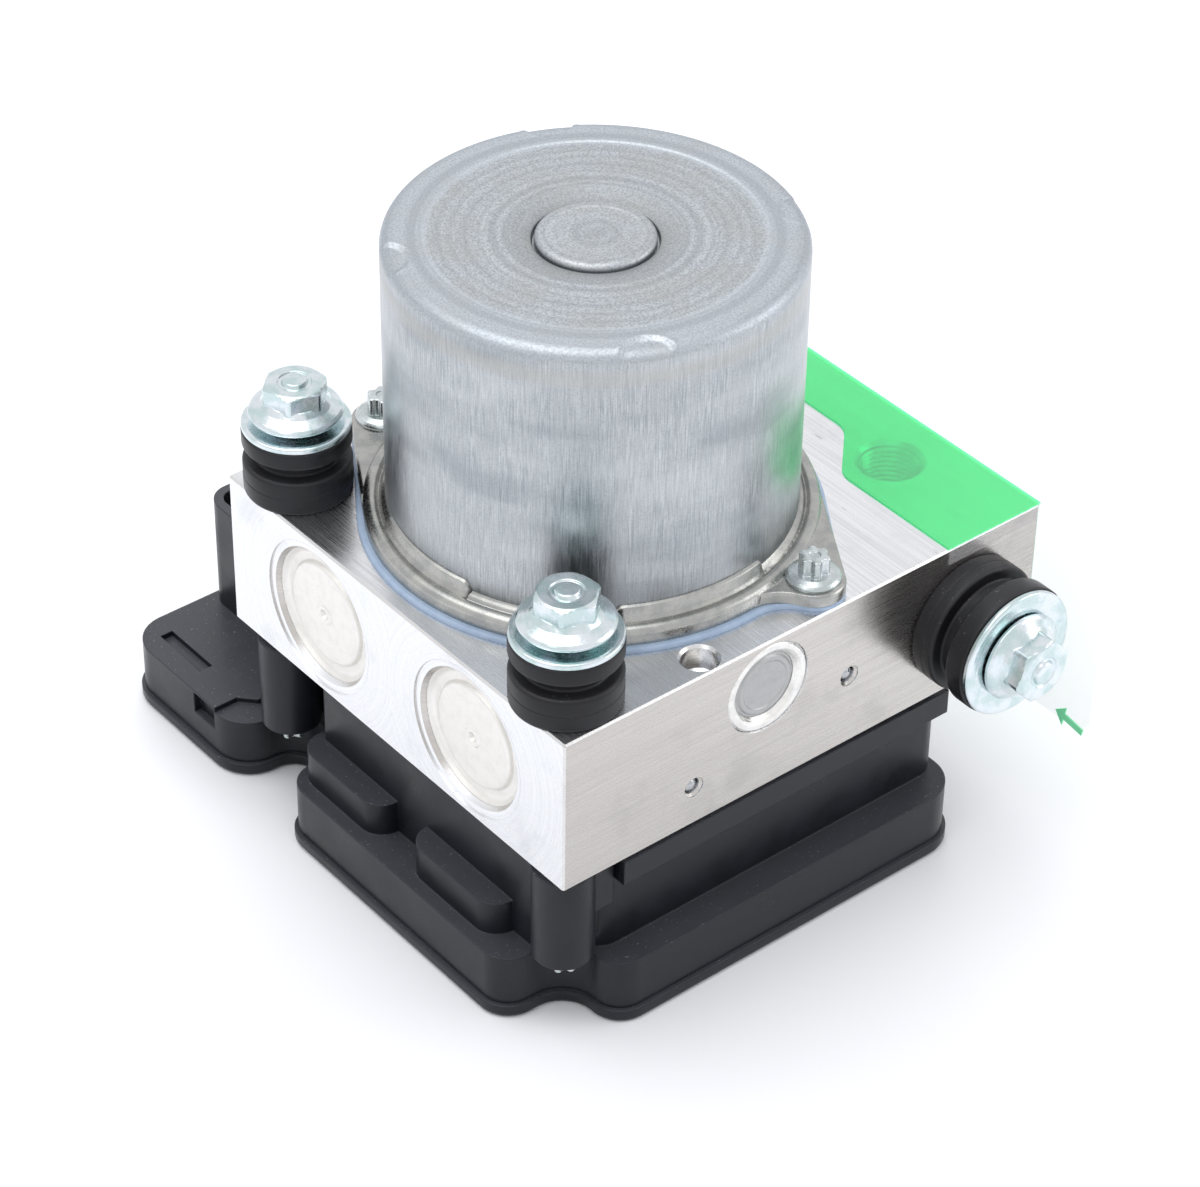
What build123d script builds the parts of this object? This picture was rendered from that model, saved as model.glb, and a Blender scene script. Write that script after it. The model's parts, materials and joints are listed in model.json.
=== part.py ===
from build123d import *
import os
from math import acos, atan2, cos, hypot, pi, radians, sin

os.makedirs("parts", exist_ok=True)

# Brake control module in millimetres. Z runs up the motor's axis from the cover's
# underside. +X looks at the pipe ports, -X at the accumulators, +Y at the connector.

# Heights, stacked up from the cover's underside
COVER_T = 3.0
TRAY_H = 9.9
WALL_H = 21.3
SEAL_T = 1.4
BLOCK_T = 30.9
TRAY_TOP = COVER_T + TRAY_H
WALL_TOP = TRAY_TOP + WALL_H
BLOCK_BOTTOM = WALL_TOP + SEAL_T
BLOCK_TOP = BLOCK_BOTTOM + BLOCK_T

# Running and seating clearances, and the small bevels of turned pieces
RUN = 0.04
SEATED = 0.02
SLACK = 0.1
BEVEL = 0.3

# Motor can
CAN_R = 35.0
CAN_WALL = 2.0
CAN_H = 55.5
CAN_EDGE = 2.2
TOP_STEP = 0.3
TOP_STEP_R = CAN_R - 7.0
BOSS_GROOVE = 1.1
BOSS_GROOVE_W = 3.6
BOSS_EDGE = 0.7
CRIMPS = 4
CRIMP_R = 4.6
CRIMP_AT = CAN_R + 0.3
CRIMP_DEPTH = 0.45
CRIMP_ANGLE = 64.5

# Motor flange, its ears, the two raised arcs over it and the gasket under it
GASKET_T = 0.9
FLANGE_R = CAN_R + 3.8
FLANGE_H = 3.6
FLANGE_EDGE = 1.3
FLANGE_NECK = 0.9
GASKET_R = FLANGE_R + 1.8
EAR_T = 2.2
EAR_R = 5.5
EAR_REACH = CAN_R + 7.8
EAR_ANGLE = -70.6
EAR_BLEND = 8.0
BEADS = ((156.0, 42.0), (-126.0, 50.0))
BEAD_LOW = FLANGE_H + 1.4
BEAD_H = 1.9
BEAD_PROUD = 0.9
MOTOR_SCREW_R = 2.2
MOTOR_SCREW_DEPTH = 8.0
MOTOR_SCREW_FLANGE_R = 4.7
MOTOR_SCREW_FLANGE_T = 0.7
MOTOR_SCREW_CONE_R = 3.2
MOTOR_SCREW_STAR_R = 2.7
MOTOR_SCREW_STAR_H = 4.6

# Hydraulic block, as wide as the motor's ears and the rubber mounts need
BLOCK_X0 = -(CAN_R + 7.9)
BLOCK_X1 = 60.9
BLOCK_HALF_Y = CAN_R + 11.1
BLOCK_EDGE = 0.35

# Armature
SHAFT_R = 4.0
SHAFT_END_R = 3.5
FRONT_BEARING_R = 11.0
FRONT_BEARING_W = 7.0
FRONT_BEARING_DROP = 5.5
REAR_BEARING_R = 8.0
REAR_BEARING_W = 5.0
SHIELD_SUNK = 0.45
MAGNET_T = 4.8
MAGNET_ARC = 72.0
MAGNET_FROM = 12.0
MAGNET_TO = CAN_H - 8.5
AIR_GAP = 1.0
CORE_R = CAN_R - CAN_WALL - MAGNET_T - AIR_GAP
CORE_FROM = 16.0
CORE_TO = CAN_H - 11.5
SLOTS = 12
SLOT_LENGTH = 9.6
SLOT_WIDTH = 4.6
SLOT_MID = CORE_R - 7.2
SLOT_MOUTH = 1.8
WIRE_HEAD = 3.6
WIRE_ROUND = 1.1
WIRE_GAP = 0.2
COMMUTATOR_WALL = 6.0
COMMUTATOR_R = SHAFT_R + COMMUTATOR_WALL
COMMUTATOR_FROM = 3.6
COMMUTATOR_TO = 13.2
RISER = 1.4
RISER_PROUD = 1.6
BAR_GAP = 0.5
BAR_GAP_DEPTH = 0.8

# Brush gear
BRUSH_W = 5.0
BRUSH_L = 10.0
BRUSH_LOW = 4.7
BRUSH_TIP = COMMUTATOR_R + SLACK
BRUSH_TUBE_WALL = 0.8
BRUSH_TUBE_FROM = COMMUTATOR_R + 2.2
BRUSH_TUBE_END = CAN_R - CAN_WALL - 4.0
BRUSH_ANGLES = (90, 270)
BRUSH_SPRING_R = 1.7
BRUSH_WIRE_R = 0.35
HOLDER_LOW = 1.8
HOLDER_T = 1.8
HOLDER_BORE = FRONT_BEARING_R + 0.3
TOWER_X = -16.0
TOWER_R = 4.0
TOWER_REACH = 8.0
TOWER_ROOM = 0.2
TERMINAL_Y = (-1.8, 1.8)
TERMINAL_T = 0.8
TERMINAL_W = 2.6
TERMINAL_RISE = 2.5

# Eccentric pump drive
CHAMBER_R = 10.0
ECCENTRICITY = 1.1
ECCENTRIC_R = 5.5
RING_R = 7.5
RING_W = 6.8
PUMP_DROP = 9.6
SHAFT_OVERRUN = 1.9
CHAMBER_FLOOR = 1.6
CHAMBER_DEPTH = PUMP_DROP + RING_W / 2 + SHAFT_OVERRUN + CHAMBER_FLOOR
PUMP_Z = BLOCK_TOP - PUMP_DROP
PISTON_R = 3.2
PISTON_GAP = 0.12
PISTON_LENGTH = 15.2
PISTON_TIP = BLOCK_HALF_Y - RING_R - ECCENTRICITY - PISTON_GAP
PISTON_CROWN = 0.8
SLEEVE_R = 6.0
SLEEVE_REACH = 16.1
SLEEVE_ROOM = 16.9
SLEEVE_MOUTH = BLOCK_HALF_Y - SLEEVE_REACH
SLEEVE_BOTTOM = SLEEVE_MOUTH - SLEEVE_ROOM
SLEEVE_PORT_R = 1.0
SLEEVE_CROSS_R = 0.7
PLUG_R = 8.7
PLUG_T = 5.8
PLUG_RECESS = 2.4
PLUG_RIM = 1.9
PLUG_DISH_R = 4.6
PLUG_DISH = 0.35
PLUG_SHOULDER = PLUG_T + BEVEL
PUMP_SPRING_R = 2.45
PUMP_WIRE_R = 0.45

# Accumulators
ACC_IN = 25.5
ACC_Y = BLOCK_HALF_Y - ACC_IN
ACC_DROP = 15.4
ACC_BORE_R = 12.4
ACC_BORE_DEPTH = 24.0
ACC_MOUTH_R = 14.3
ACC_MOUTH_EDGE_R = ACC_BORE_R + 0.6
ACC_MOUTH_DEPTH = 1.2
ACC_CAP_AT = 1.3
ACC_CAP_T = 3.0
ACC_CAP_FACE = 0.5
ACC_CAP_FACE_R = 9.5
ACC_PISTON_R = ACC_BORE_R - RUN - SEATED
ACC_PISTON_L = 7.0
ACC_CUP_R = ACC_BORE_R - 3.0
ACC_CUP_DEPTH = 3.6
ACC_RING_R = 0.75
ACC_RING_AT = 2.3
ACC_WIRE_R = 0.9
ACC_PISTON_HIGH = ACC_BORE_DEPTH - SLACK

# Solenoid valves and their coils
VALVE_ROW_IN = 26.9
VALVE_ROW_GAP = 18.0
VALVE_ROWS_X = (BLOCK_X1 - VALVE_ROW_IN, BLOCK_X1 - VALVE_ROW_IN - VALVE_ROW_GAP)
VALVE_NECKS_R = (4.2, 3.7)
VALVE_PITCH_Y = 19.0
VALVE_BORE_R = 5.0
VALVE_BORE_DEPTH = 15.0
VALVE_SHOULDER = 6.0
DOME_R = 3.0
DOME_WALL = 0.35
DOME_FROM = TRAY_TOP + 4.1
VALVE_STROKE = 0.3
ARMATURE_LOW = DOME_FROM + 1.4
ARMATURE_TOP = WALL_TOP - 3.2
COIL_R = 7.4
COIL_CASE_R = 8.2
COIL_LOW = TRAY_TOP + 3.7
COIL_TOP = WALL_TOP - 4.0
BOBBIN_T = 0.9
BOBBIN_PROUD = 0.5
LEAD_R = 0.4
LEAD_Y = (-2.0, 2.0)
LEAD_INSET = 2.4
YOKE_PLATE = 1.0

# Pipe ports
MASTER_PORT_IN = 11.5
MASTER_PORT_Y = 20.8
MASTER_PORT = (BLOCK_X1 - MASTER_PORT_IN, MASTER_PORT_Y)
MASTER_PORT_R = 5.5
WHEEL_PORT_Y = (11.5, 33.5)
WHEEL_PORT_DROP = 15.5
WHEEL_PORT_R = 4.55
PORT_DEPTH = 11.0
PORT_MOUTH = 0.8
DRILLING_R = 1.5

# Small holes that the faces show
DOWEL_HOLE_X = -11.82
DOWEL_HOLE_IN = 3.94
DOWEL_HOLE = (DOWEL_HOLE_X, DOWEL_HOLE_IN - BLOCK_HALF_Y)
DOWEL_HOLE_R = 3.05
DOWEL_HOLE_DEPTH = 4.5
DOWEL_HOLE_MOUTH = 0.5
STAKED_BALLS = ((-15.46, 23.03), (18.36, 16.36))
STAKED_BALL_R = 1.5
STAKED_RING_W = 0.5
STAKED_SUNK = 0.45
STAKED_BORE_DEPTH = 4.0
PASSAGE_R = 0.9
PASSAGE_DEPTH = 8.0

# Rubber mounts: two small ones on the top face and a large one on the side face
TOP_MOUNT_IN = 8.0
TOP_MOUNT_SIDE_IN = 9.6
TOP_MOUNT = (BLOCK_X0 + TOP_MOUNT_IN, BLOCK_HALF_Y - TOP_MOUNT_SIDE_IN)
TOP_RUBBER_R = 9.45
TOP_RUBBER_LOW = 6.5
TOP_RUBBER_HIGH = 9.2
TOP_RUBBER_H = 12.6
TOP_BOLT_RISE = 1.4
TOP_RUBBER_ROOM = 0.3
SIDE_MOUNT_IN = 16.5
SIDE_MOUNT_DROP = 16.1
SIDE_MOUNT = (BLOCK_X1 - SIDE_MOUNT_IN, SIDE_MOUNT_DROP)
SIDE_RUBBER_R = 12.1
SIDE_RUBBER_LOW = 4.9
SIDE_RUBBER_HIGH = 8.2
SIDE_RUBBER_H = 12.3
SIDE_BOLT_RISE = 0.7
RUBBER_WAIST = 2.4
RUBBER_EDGE = 0.6
BUSH_R = 4.0
TOP_COLLAR_R = TOP_RUBBER_R - 0.05
SIDE_COLLAR_R = SIDE_RUBBER_R - 0.25
COLLAR_T = 1.2
MOUNT_BOLT_R = 3.0
MOUNT_BOLT_DEPTH = 11.0
BOLT_HEX = 10.0
BOLT_HEX_FROM = 1.6
BOLT_HEX_TO = 6.1
BOLT_HEX_CROWN = 0.7
BOLT_HEX_TURN = 42.0
BOLT_FLANGE_R = 8.2
BOLT_FLANGE_T = 1.2
BOLT_NECK_R = BOLT_FLANGE_R - 2.2
BOLT_PIP_R = 2.3
BOLT_PIP_H = 0.5
BOLT_RING_R = 3.1

# Control unit's tray, with the bays that the screw columns stand over
WALL = 2.0
TRAY_PROUD = 3.8
TRAY_SHORT = 14.4
TRAY_SIDE_PROUD = 1.5
TRAY_X0 = BLOCK_X0 - TRAY_PROUD
TRAY_X1 = BLOCK_X1 - TRAY_SHORT
TRAY_HALF_Y = BLOCK_HALF_Y + TRAY_SIDE_PROUD
TRAY_CORNER_R = 5.4
TRAY_FRONT_CORNER_R = 7.4
BAY_DEPTH = 14.1
BAY_W = 12.6
BAY_X = TRAY_X0 + BAY_DEPTH
BAY_Y = BAY_W - TRAY_HALF_Y
BAY_R = 7.0
SIDE_BAY_DEPTH = 13.9
SIDE_BAY_W = 14.8
SIDE_BAY_IN = 2.8
SIDE_BAY_X = TRAY_X0 + SIDE_BAY_DEPTH
SIDE_BAY_Y1 = BLOCK_HALF_Y - SIDE_BAY_IN
SIDE_BAY_Y0 = SIDE_BAY_Y1 - SIDE_BAY_W
SIDE_BAY_SLOPE = 1.5
SIDE_BAY_R = 5.2
INNER_CORNER_R = 3.0
COVER_RIM = 0.7
COVER_EDGE = 1.1
COVER_SEAM = 0.4
COVER_SEAM_DEPTH = 0.3
COVER_PLATE = 0.2

# Control unit's upper walls
SIDE_IN = 3.4
SIDE_SHORT = 15.0
SIDE_FRONT_IN = 4.5
SIDE_BACK_IN = 0.6
SIDE_RECESS = 19.5
SIDE_X0 = BLOCK_X0 + SIDE_IN
SIDE_X1 = BLOCK_X1 - SIDE_SHORT
SIDE_FRONT_Y = SIDE_FRONT_IN - BLOCK_HALF_Y
SIDE_BACK_Y = BLOCK_HALF_Y - SIDE_BACK_IN
SIDE_RECESS_Y = SIDE_BACK_Y - SIDE_RECESS
SIDE_CORNER_R = 1.5
SIDE_FRONT_CORNER_R = 5.0
SIDE_BACK_CORNER_R = 4.0
LIP_IN = 3.1
LIP_SHORT = 2.7
LIP_X0 = BAY_X + LIP_IN
LIP_X1 = SIDE_X1 - LIP_SHORT
LIP_PROUD = 3.9
LIP_H = 4.9
BUMP_W = 23.4
BUMP_IN = 1.5
FRONT_BUMP_W = 24.0
FRONT_BUMP_IN = 6.4
BUMPS = (
    (SIDE_BAY_Y0 - BUMP_IN - BUMP_W, SIDE_BAY_Y0 - BUMP_IN),
    (BAY_Y + FRONT_BUMP_IN, BAY_Y + FRONT_BUMP_IN + FRONT_BUMP_W),
)
BUMP_PROUD = 1.2
BUMP_H = 6.7
BUMP_X0 = BLOCK_X0 - BUMP_PROUD
BUMP_TOP = TRAY_TOP + BUMP_H
BUMP_R = 4.5

# Screw columns and their screws
COLUMN_R = 5.4
COLUMN_TOP_R = 4.0
COLUMN_FROM = TRAY_TOP + 2.6
COLUMN_IN = 5.4
COLUMN_FRONT_IN = 6.6
COLUMN_BACK_IN = 8.1
COLUMN_FAR_IN = 11.1
COLUMN_HALF_GAP = 19.0
COLUMNS = (
    (BLOCK_X0 + COLUMN_IN, COLUMN_FRONT_IN - BLOCK_HALF_Y),
    (BLOCK_X0 + COLUMN_IN, BLOCK_HALF_Y - COLUMN_BACK_IN),
    (BLOCK_X1 - COLUMN_FAR_IN, -COLUMN_HALF_GAP),
    (BLOCK_X1 - COLUMN_FAR_IN, COLUMN_HALF_GAP),
)
COLUMN_WEB_W = 4.0
COLUMN_WEB_FROM = COLUMN_FROM + 2.0
CORNER_WEB_END = 7.4
CORNER_WEB_PROUD = 4.0
CORNER_WEB_LOW = 11.6
CORNER_WEB = (
    COLUMNS[0][0] + CORNER_WEB_END, COLUMNS[0][1] - CORNER_WEB_PROUD, TRAY_TOP + CORNER_WEB_LOW,
)
ECU_SCREW_R = 2.0
ECU_SCREW_DEPTH = 7.0
ECU_SCREW_HEAD_R = 3.6
ECU_SCREW_HEAD_T = 1.0
ECU_SCREW_STAR_R = 2.3
ECU_SCREW_STAR_H = 1.3

# Connector end of the housing
PLUG_END_IN = 1.2
PLUG_END_REACH = 33.05
PLUG_END_MARGIN = 4.0
PLUG_END_R = 7.2
SHROUD_IN = 15.9
SHROUD_L = 59.0
SHROUD_GAP = 4.2
SHROUD_X0 = BLOCK_X0 + SHROUD_IN
SHROUD_X1 = SHROUD_X0 + SHROUD_L
SHROUD_Y0 = BLOCK_HALF_Y + SHROUD_GAP
PLUG_END_X0 = TRAY_X0 + PLUG_END_IN
PLUG_END_X1 = SHROUD_X1 + PLUG_END_MARGIN
PLUG_END_Y1 = BLOCK_HALF_Y + PLUG_END_REACH
SHROUD_H = 23.0
SHROUD_WALL = 1.8
SHROUD_R = 4.5
LEDGE_Y = BLOCK_HALF_Y + 4.9
LEDGE_X = (BLOCK_X0 + 2.3, BLOCK_X0 + 5.0, BLOCK_X0 + 9.9)
LEDGE_STEP = 2.9
LEDGE_DROP = 1.0
END_GROOVE = (BLOCK_X0 + 2.8, BLOCK_HALF_Y + 21.7)
END_GROOVE_W = 2.6
END_GROOVE_L = 13.0
END_GROOVE_DEPTH = 1.1
WINDOW_Y = (BLOCK_HALF_Y + 5.1, BLOCK_HALF_Y + 11.5)
WINDOW_Z = (TRAY_TOP - 5.0, TRAY_TOP - 0.5)
WINDOW_DEPTH = 1.4

# Circuit board, its components and the connector pins
BOARD_AT = COVER_T + 2.0
BOARD_T = 1.6
BOARD_ROOM = 0.6
BOARD_POSTS = (
    (TRAY_X0 + 5.1, -18.0), (30.0, 5.0 - TRAY_HALF_Y), (TRAY_X1 - 3.5, 33.0),
    (PLUG_END_X0 + 5.5, PLUG_END_Y1 - 17.2),
)
BOARD_POST_R = 2.4
PACKAGES = (
    (-20.0, 22.0, 14.0, 14.0, 1.6), (-20.0, -24.0, 9.0, 7.0, 1.4), (5.0, -20.0, 10.0, 10.0, 1.5),
    (4.0, 20.0, 8.0, 6.0, 1.4), (-5.0, -38.0, 6.0, 5.0, 2.2), (24.0, 0.0, 6.0, 5.0, 1.4),
)
CAPACITOR_R = 5.0
CAPACITOR_GAP = 1.5
CAPACITOR_X = SIDE_X0 + WALL + CAPACITOR_R + CAPACITOR_GAP
CAPACITORS = (
    (CAPACITOR_X, SIDE_RECESS_Y - WALL - 2 * CAPACITOR_R),
    (CAPACITOR_X, BAY_Y + WALL + CAPACITOR_R),
)
CAPACITOR_H = 12.0
CAPACITOR_NECK = (9.8, 10.4)
CAPACITOR_NECK_DEPTH = 0.4
BLADE_IN = 10.0
BLADE_SIDE_IN = 7.2
BLADE_X = SHROUD_X0 + BLADE_IN
BLADE_Y0 = SHROUD_Y0 + BLADE_SIDE_IN
BLADE_PITCH = 5.0
BLADES = 4
BLADE_W = 6.0
BLADE_T = 0.8
PIN_IN = 21.0
PIN_PITCH = 3.4
PIN_X0 = SHROUD_X0 + PIN_IN
PINS_PER_ROW = 10
PIN_SIDE_IN = 8.7
PIN_ROW_GAP = 3.6
PIN_MIDDLE_GAP = 4.4
PIN_PAIR = (SHROUD_Y0 + PIN_SIDE_IN, SHROUD_Y0 + PIN_SIDE_IN + PIN_ROW_GAP)
PIN_ROWS_Y = PIN_PAIR + tuple(y + PIN_ROW_GAP + PIN_MIDDLE_GAP for y in PIN_PAIR)
PIN_SIDE = 0.64
PIN_TOP = TRAY_TOP + 11.1

# Peel-off film over the ports
FILM_T = 0.25
FILM_W = 21.1
FILM_WAIST_W = 11.4
FILM_X0 = BLOCK_X1 - FILM_W
FILM_WAIST_X = BLOCK_X1 - FILM_WAIST_W
FILM_NECK_Y = 9.0
FILM_SHOULDER_Y = 19.0
FILM_BEND_R = 5.0
FILM_LIP = 3.0
FILM_DROP = 41.0
FILM_TAB = 16.5
FILM_TAB_R = 4.0
FILM_TAB_DROP = 5.0

VALVE_Y = [VALVE_PITCH_Y * (k - 1.5) for k in range(4)]
VALVES = [(x, y) for x in VALVE_ROWS_X for y in VALVE_Y]
EARS = [
    (EAR_REACH * cos(radians(EAR_ANGLE + turn)), EAR_REACH * sin(radians(EAR_ANGLE + turn)))
    for turn in (0, 180)
]
PIN_FIELD = [(BLADE_X, BLADE_Y0 + BLADE_PITCH * k, BLADE_W, BLADE_T) for k in range(BLADES)]
PIN_FIELD += [
    (PIN_X0 + PIN_PITCH * k, y, PIN_SIDE, PIN_SIDE) for y in PIN_ROWS_Y for k in range(PINS_PER_ROW)
]


def rod(r, z0, z1, x=0.0, y=0.0):
    """Upright cylinder between two heights."""
    upright = (Align.CENTER, Align.CENTER, Align.MIN)
    return Pos(x, y, z0) * Cylinder(r, z1 - z0, align=upright)


def tube(r_out, r_in, z0, z1, x=0.0, y=0.0):
    """Upright ring between two heights."""
    return rod(r_out, z0, z1, x, y) - rod(r_in, z0 - 1, z1 + 1, x, y)


def block_between(low, high):
    """Box from its lowest corner to its highest."""
    size = [b - a for a, b in zip(low, high)]
    return Pos(*low) * Box(*size, align=(Align.MIN, Align.MIN, Align.MIN))


def turned(*profile):
    """Solid of revolution about Z from (radius, height) points."""
    face = make_face(Polyline(*[(r, 0, z) for r, z in profile], close=True))
    return revolve(face, Axis.Z)


def outline(*corners):
    """Closed face through (x, y, corner radius) points."""
    points = [(x, y) for x, y, _ in corners]
    return make_face(FilletPolyline(*points, radius=[r for *_, r in corners], close=True))


def slab(face, z0, z1):
    """Flat face raised from one height to another."""
    return extrude(Pos(0, 0, z0) * face, z1 - z0)


def seat(point, direction):
    """Place whose local Z runs from a point along a direction."""
    return Plane(origin=point, z_dir=direction).location


def spring(r, wire_r, z0, z1, turns):
    """Round-wire compression spring between two heights."""
    low = z0 + wire_r
    height = z1 - z0 - 2 * wire_r
    path = Pos(0, 0, low) * Helix(height / turns, height, r)
    section = Plane(origin=path @ 0, z_dir=path % 0) * Circle(wire_r)
    return sweep(section, path)


def star_head(r, z0, z1):
    """Six-lobed screw head."""
    core = 0.84
    lobe = 0.2
    head = rod(core * r, z0, z1)
    for k in range(6):
        angle = k * pi / 3
        head += rod(lobe * r, z0, z1, (1 - lobe) * r * cos(angle), (1 - lobe) * r * sin(angle))
    return head


# Shapes shared by the motor's flange and its gasket
def ear_web(rim_r, ear):
    """Ear on a round flange: a straight flank on one side, a hollow one on the other."""
    reach = hypot(*ear)
    lean = atan2(ear[1], ear[0])
    flank = lean + acos((rim_r - EAR_R) / reach)
    straight = [
        (0, 0),
        (rim_r * cos(flank), rim_r * sin(flank)),
        (ear[0] + EAR_R * cos(flank), ear[1] + EAR_R * sin(flank)),
        ear,
    ]
    to_blend = rim_r + EAR_BLEND
    cosine = (to_blend**2 + reach**2 - (EAR_R + EAR_BLEND) ** 2) / (2 * to_blend * reach)
    hollow = lean - acos(cosine)
    centre = (to_blend * cos(hollow), to_blend * sin(hollow))
    web = make_face(Polyline((0, 0), ear, centre, close=True)) - Pos(*centre) * Circle(EAR_BLEND)
    return make_face(Polyline(*straight, close=True)) + web + Pos(*ear) * Circle(EAR_R)


def flange_outline(rim_r):
    """Round flange with its two ears and screw holes."""
    face = Circle(rim_r)
    for ear in EARS:
        face += ear_web(rim_r, ear)
    for ear in EARS:
        face -= Pos(*ear) * Circle(MOTOR_SCREW_R + SLACK)
    return face


# Motor, built over the block's top at z = 0 and then lifted
def top_rim(body, r, z):
    """Circular edges of a radius at a height."""
    circles = body.edges().filter_by(GeomType.CIRCLE)
    return [e for e in circles if abs(e.radius - r) < 0.01 and abs(e.center().Z - z) < 0.01]


def base_bead(start, sweep_angle):
    """Raised arc pressed out of the can just above its flange."""
    profile = make_face(Polyline(
        (CAN_R - BEAD_PROUD, 0, BEAD_LOW), (CAN_R + BEAD_PROUD, 0, BEAD_LOW),
        (CAN_R + BEAD_PROUD, 0, BEAD_LOW + BEAD_H / 2), (CAN_R - BEAD_PROUD, 0, BEAD_LOW + BEAD_H + BEVEL),
        close=True,
    ))
    return Rot(0, 0, start) * revolve(profile, Axis.Z, sweep_angle)


def make_motor_housing():
    inner = CAN_R - CAN_WALL
    boss_r = REAR_BEARING_R + CAN_WALL
    low_top = CAN_H - TOP_STEP
    groove = CAN_H - BOSS_GROOVE
    bearing_top = CAN_H - CAN_WALL
    bearing_low = bearing_top - REAR_BEARING_W
    can = turned(
        (inner, GASKET_T), (FLANGE_R, GASKET_T), (FLANGE_R, FLANGE_H - FLANGE_EDGE),
        (FLANGE_R - FLANGE_EDGE, FLANGE_H), (CAN_R + FLANGE_NECK, FLANGE_H),
        (CAN_R, FLANGE_H + FLANGE_NECK), (CAN_R, CAN_H), (TOP_STEP_R + TOP_STEP, CAN_H),
        (TOP_STEP_R, low_top), (boss_r + BOSS_GROOVE_W, low_top), (boss_r + BOSS_EDGE, groove),
        (boss_r, groove), (boss_r, CAN_H), (0, CAN_H), (0, bearing_top), (REAR_BEARING_R, bearing_top),
        (REAR_BEARING_R, bearing_low), (boss_r, bearing_low), (boss_r, bearing_top - BOSS_GROOVE),
        (inner, bearing_top - BOSS_GROOVE),
    )
    for rim_r, edge_r in ((CAN_R, CAN_EDGE), (boss_r, BOSS_EDGE)):
        can = fillet(top_rim(can, rim_r, CAN_H), edge_r)
    can += slab(flange_outline(FLANGE_R), GASKET_T, GASKET_T + EAR_T) - rod(inner, 0, CAN_H)
    for start, sweep_angle in BEADS:
        can += base_bead(start, sweep_angle)
    for k in range(CRIMPS):
        angle = radians(CRIMP_ANGLE + k * 360 / CRIMPS)
        place = (CRIMP_AT * cos(angle), CRIMP_AT * sin(angle))
        can -= rod(CRIMP_R, CAN_H - CRIMP_DEPTH, CAN_H + 1, *place)
    for ear in EARS:
        can -= rod(MOTOR_SCREW_R + SLACK, 0, FLANGE_H + 1, *ear)
    return Pos(0, 0, BLOCK_TOP) * can


def make_motor_seal():
    face = flange_outline(GASKET_R) - Circle(CAN_R - CAN_WALL)
    x, y = TOP_MOUNT
    for mount_y in (-y, y):
        face -= Pos(x, mount_y) * Circle(TOP_RUBBER_R + TOP_RUBBER_ROOM)
    return slab(face, BLOCK_TOP, BLOCK_TOP + GASKET_T)


def make_motor_screws():
    low = BLOCK_TOP + GASKET_T + EAR_T
    cone_top = low + 2 * MOTOR_SCREW_FLANGE_T
    screw = rod(MOTOR_SCREW_R, BLOCK_TOP + BEVEL - MOTOR_SCREW_DEPTH, low + BEVEL)
    screw += turned(
        (0, low), (MOTOR_SCREW_FLANGE_R, low), (MOTOR_SCREW_FLANGE_R, low + MOTOR_SCREW_FLANGE_T),
        (MOTOR_SCREW_CONE_R, cone_top), (0, cone_top),
    )
    screw += star_head(MOTOR_SCREW_STAR_R, cone_top - BEVEL, low + MOTOR_SCREW_STAR_H)
    return [Pos(*ear) * screw for ear in EARS]


def bearing(r_in, r_out, width):
    """Ball bearing with its shields set back between the races."""
    race = (r_out - r_in) * 0.26
    sunk = SHIELD_SUNK
    return turned(
        (r_in, 0), (r_in + race, 0), (r_in + race, sunk), (r_out - race, sunk), (r_out - race, 0),
        (r_out, 0), (r_out, width), (r_out - race, width), (r_out - race, width - sunk),
        (r_in + race, width - sunk), (r_in + race, width), (r_in, width),
    )


def make_rear_bearing():
    low = BLOCK_TOP + CAN_H - CAN_WALL - REAR_BEARING_W
    return Pos(0, 0, low) * bearing(SHAFT_R + RUN, REAR_BEARING_R - SEATED, REAR_BEARING_W - SLACK)


def make_front_bearing():
    low = BLOCK_TOP - FRONT_BEARING_DROP
    return Pos(0, 0, low) * bearing(SHAFT_R + RUN, FRONT_BEARING_R - SEATED, FRONT_BEARING_W)


def make_motor_magnets():
    outer = CAN_R - CAN_WALL - RUN
    section = Rot(90, 0, 0) * Pos(outer - MAGNET_T / 2, 0, 0) * Rectangle(MAGNET_T, MAGNET_TO - MAGNET_FROM)
    shell = Pos(0, 0, BLOCK_TOP + (MAGNET_FROM + MAGNET_TO) / 2) * revolve(section, Axis.Z, MAGNET_ARC)
    return [Rot(0, 0, 90 * k + 45 - MAGNET_ARC / 2) * shell for k in range(4)]


def make_motor_shaft():
    top = BLOCK_TOP + CAN_H - CAN_WALL - 2 * BEVEL
    step = BLOCK_TOP - FRONT_BEARING_DROP - SLACK
    end = BLOCK_TOP - CHAMBER_DEPTH + CHAMBER_FLOOR
    return turned(
        (0, top), (SHAFT_R - BEVEL, top), (SHAFT_R, top - BEVEL), (SHAFT_R, step),
        (SHAFT_END_R, step), (SHAFT_END_R, end + BEVEL), (SHAFT_END_R - BEVEL, end), (0, end),
    )


def make_armature_core():
    core = tube(CORE_R, SHAFT_R + SEATED, CORE_FROM, CORE_TO)
    section = Pos(SLOT_MID, 0) * RectangleRounded(SLOT_LENGTH, SLOT_WIDTH, 1.0)
    section += Pos(CORE_R, 0) * Rectangle(SLOT_LENGTH / 2, SLOT_MOUTH)
    slot = slab(section, CORE_FROM - 1, CORE_TO + 1)
    for k in range(SLOTS):
        core -= Rot(0, 0, k * 360 / SLOTS) * slot
    return Pos(0, 0, BLOCK_TOP) * core


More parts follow.
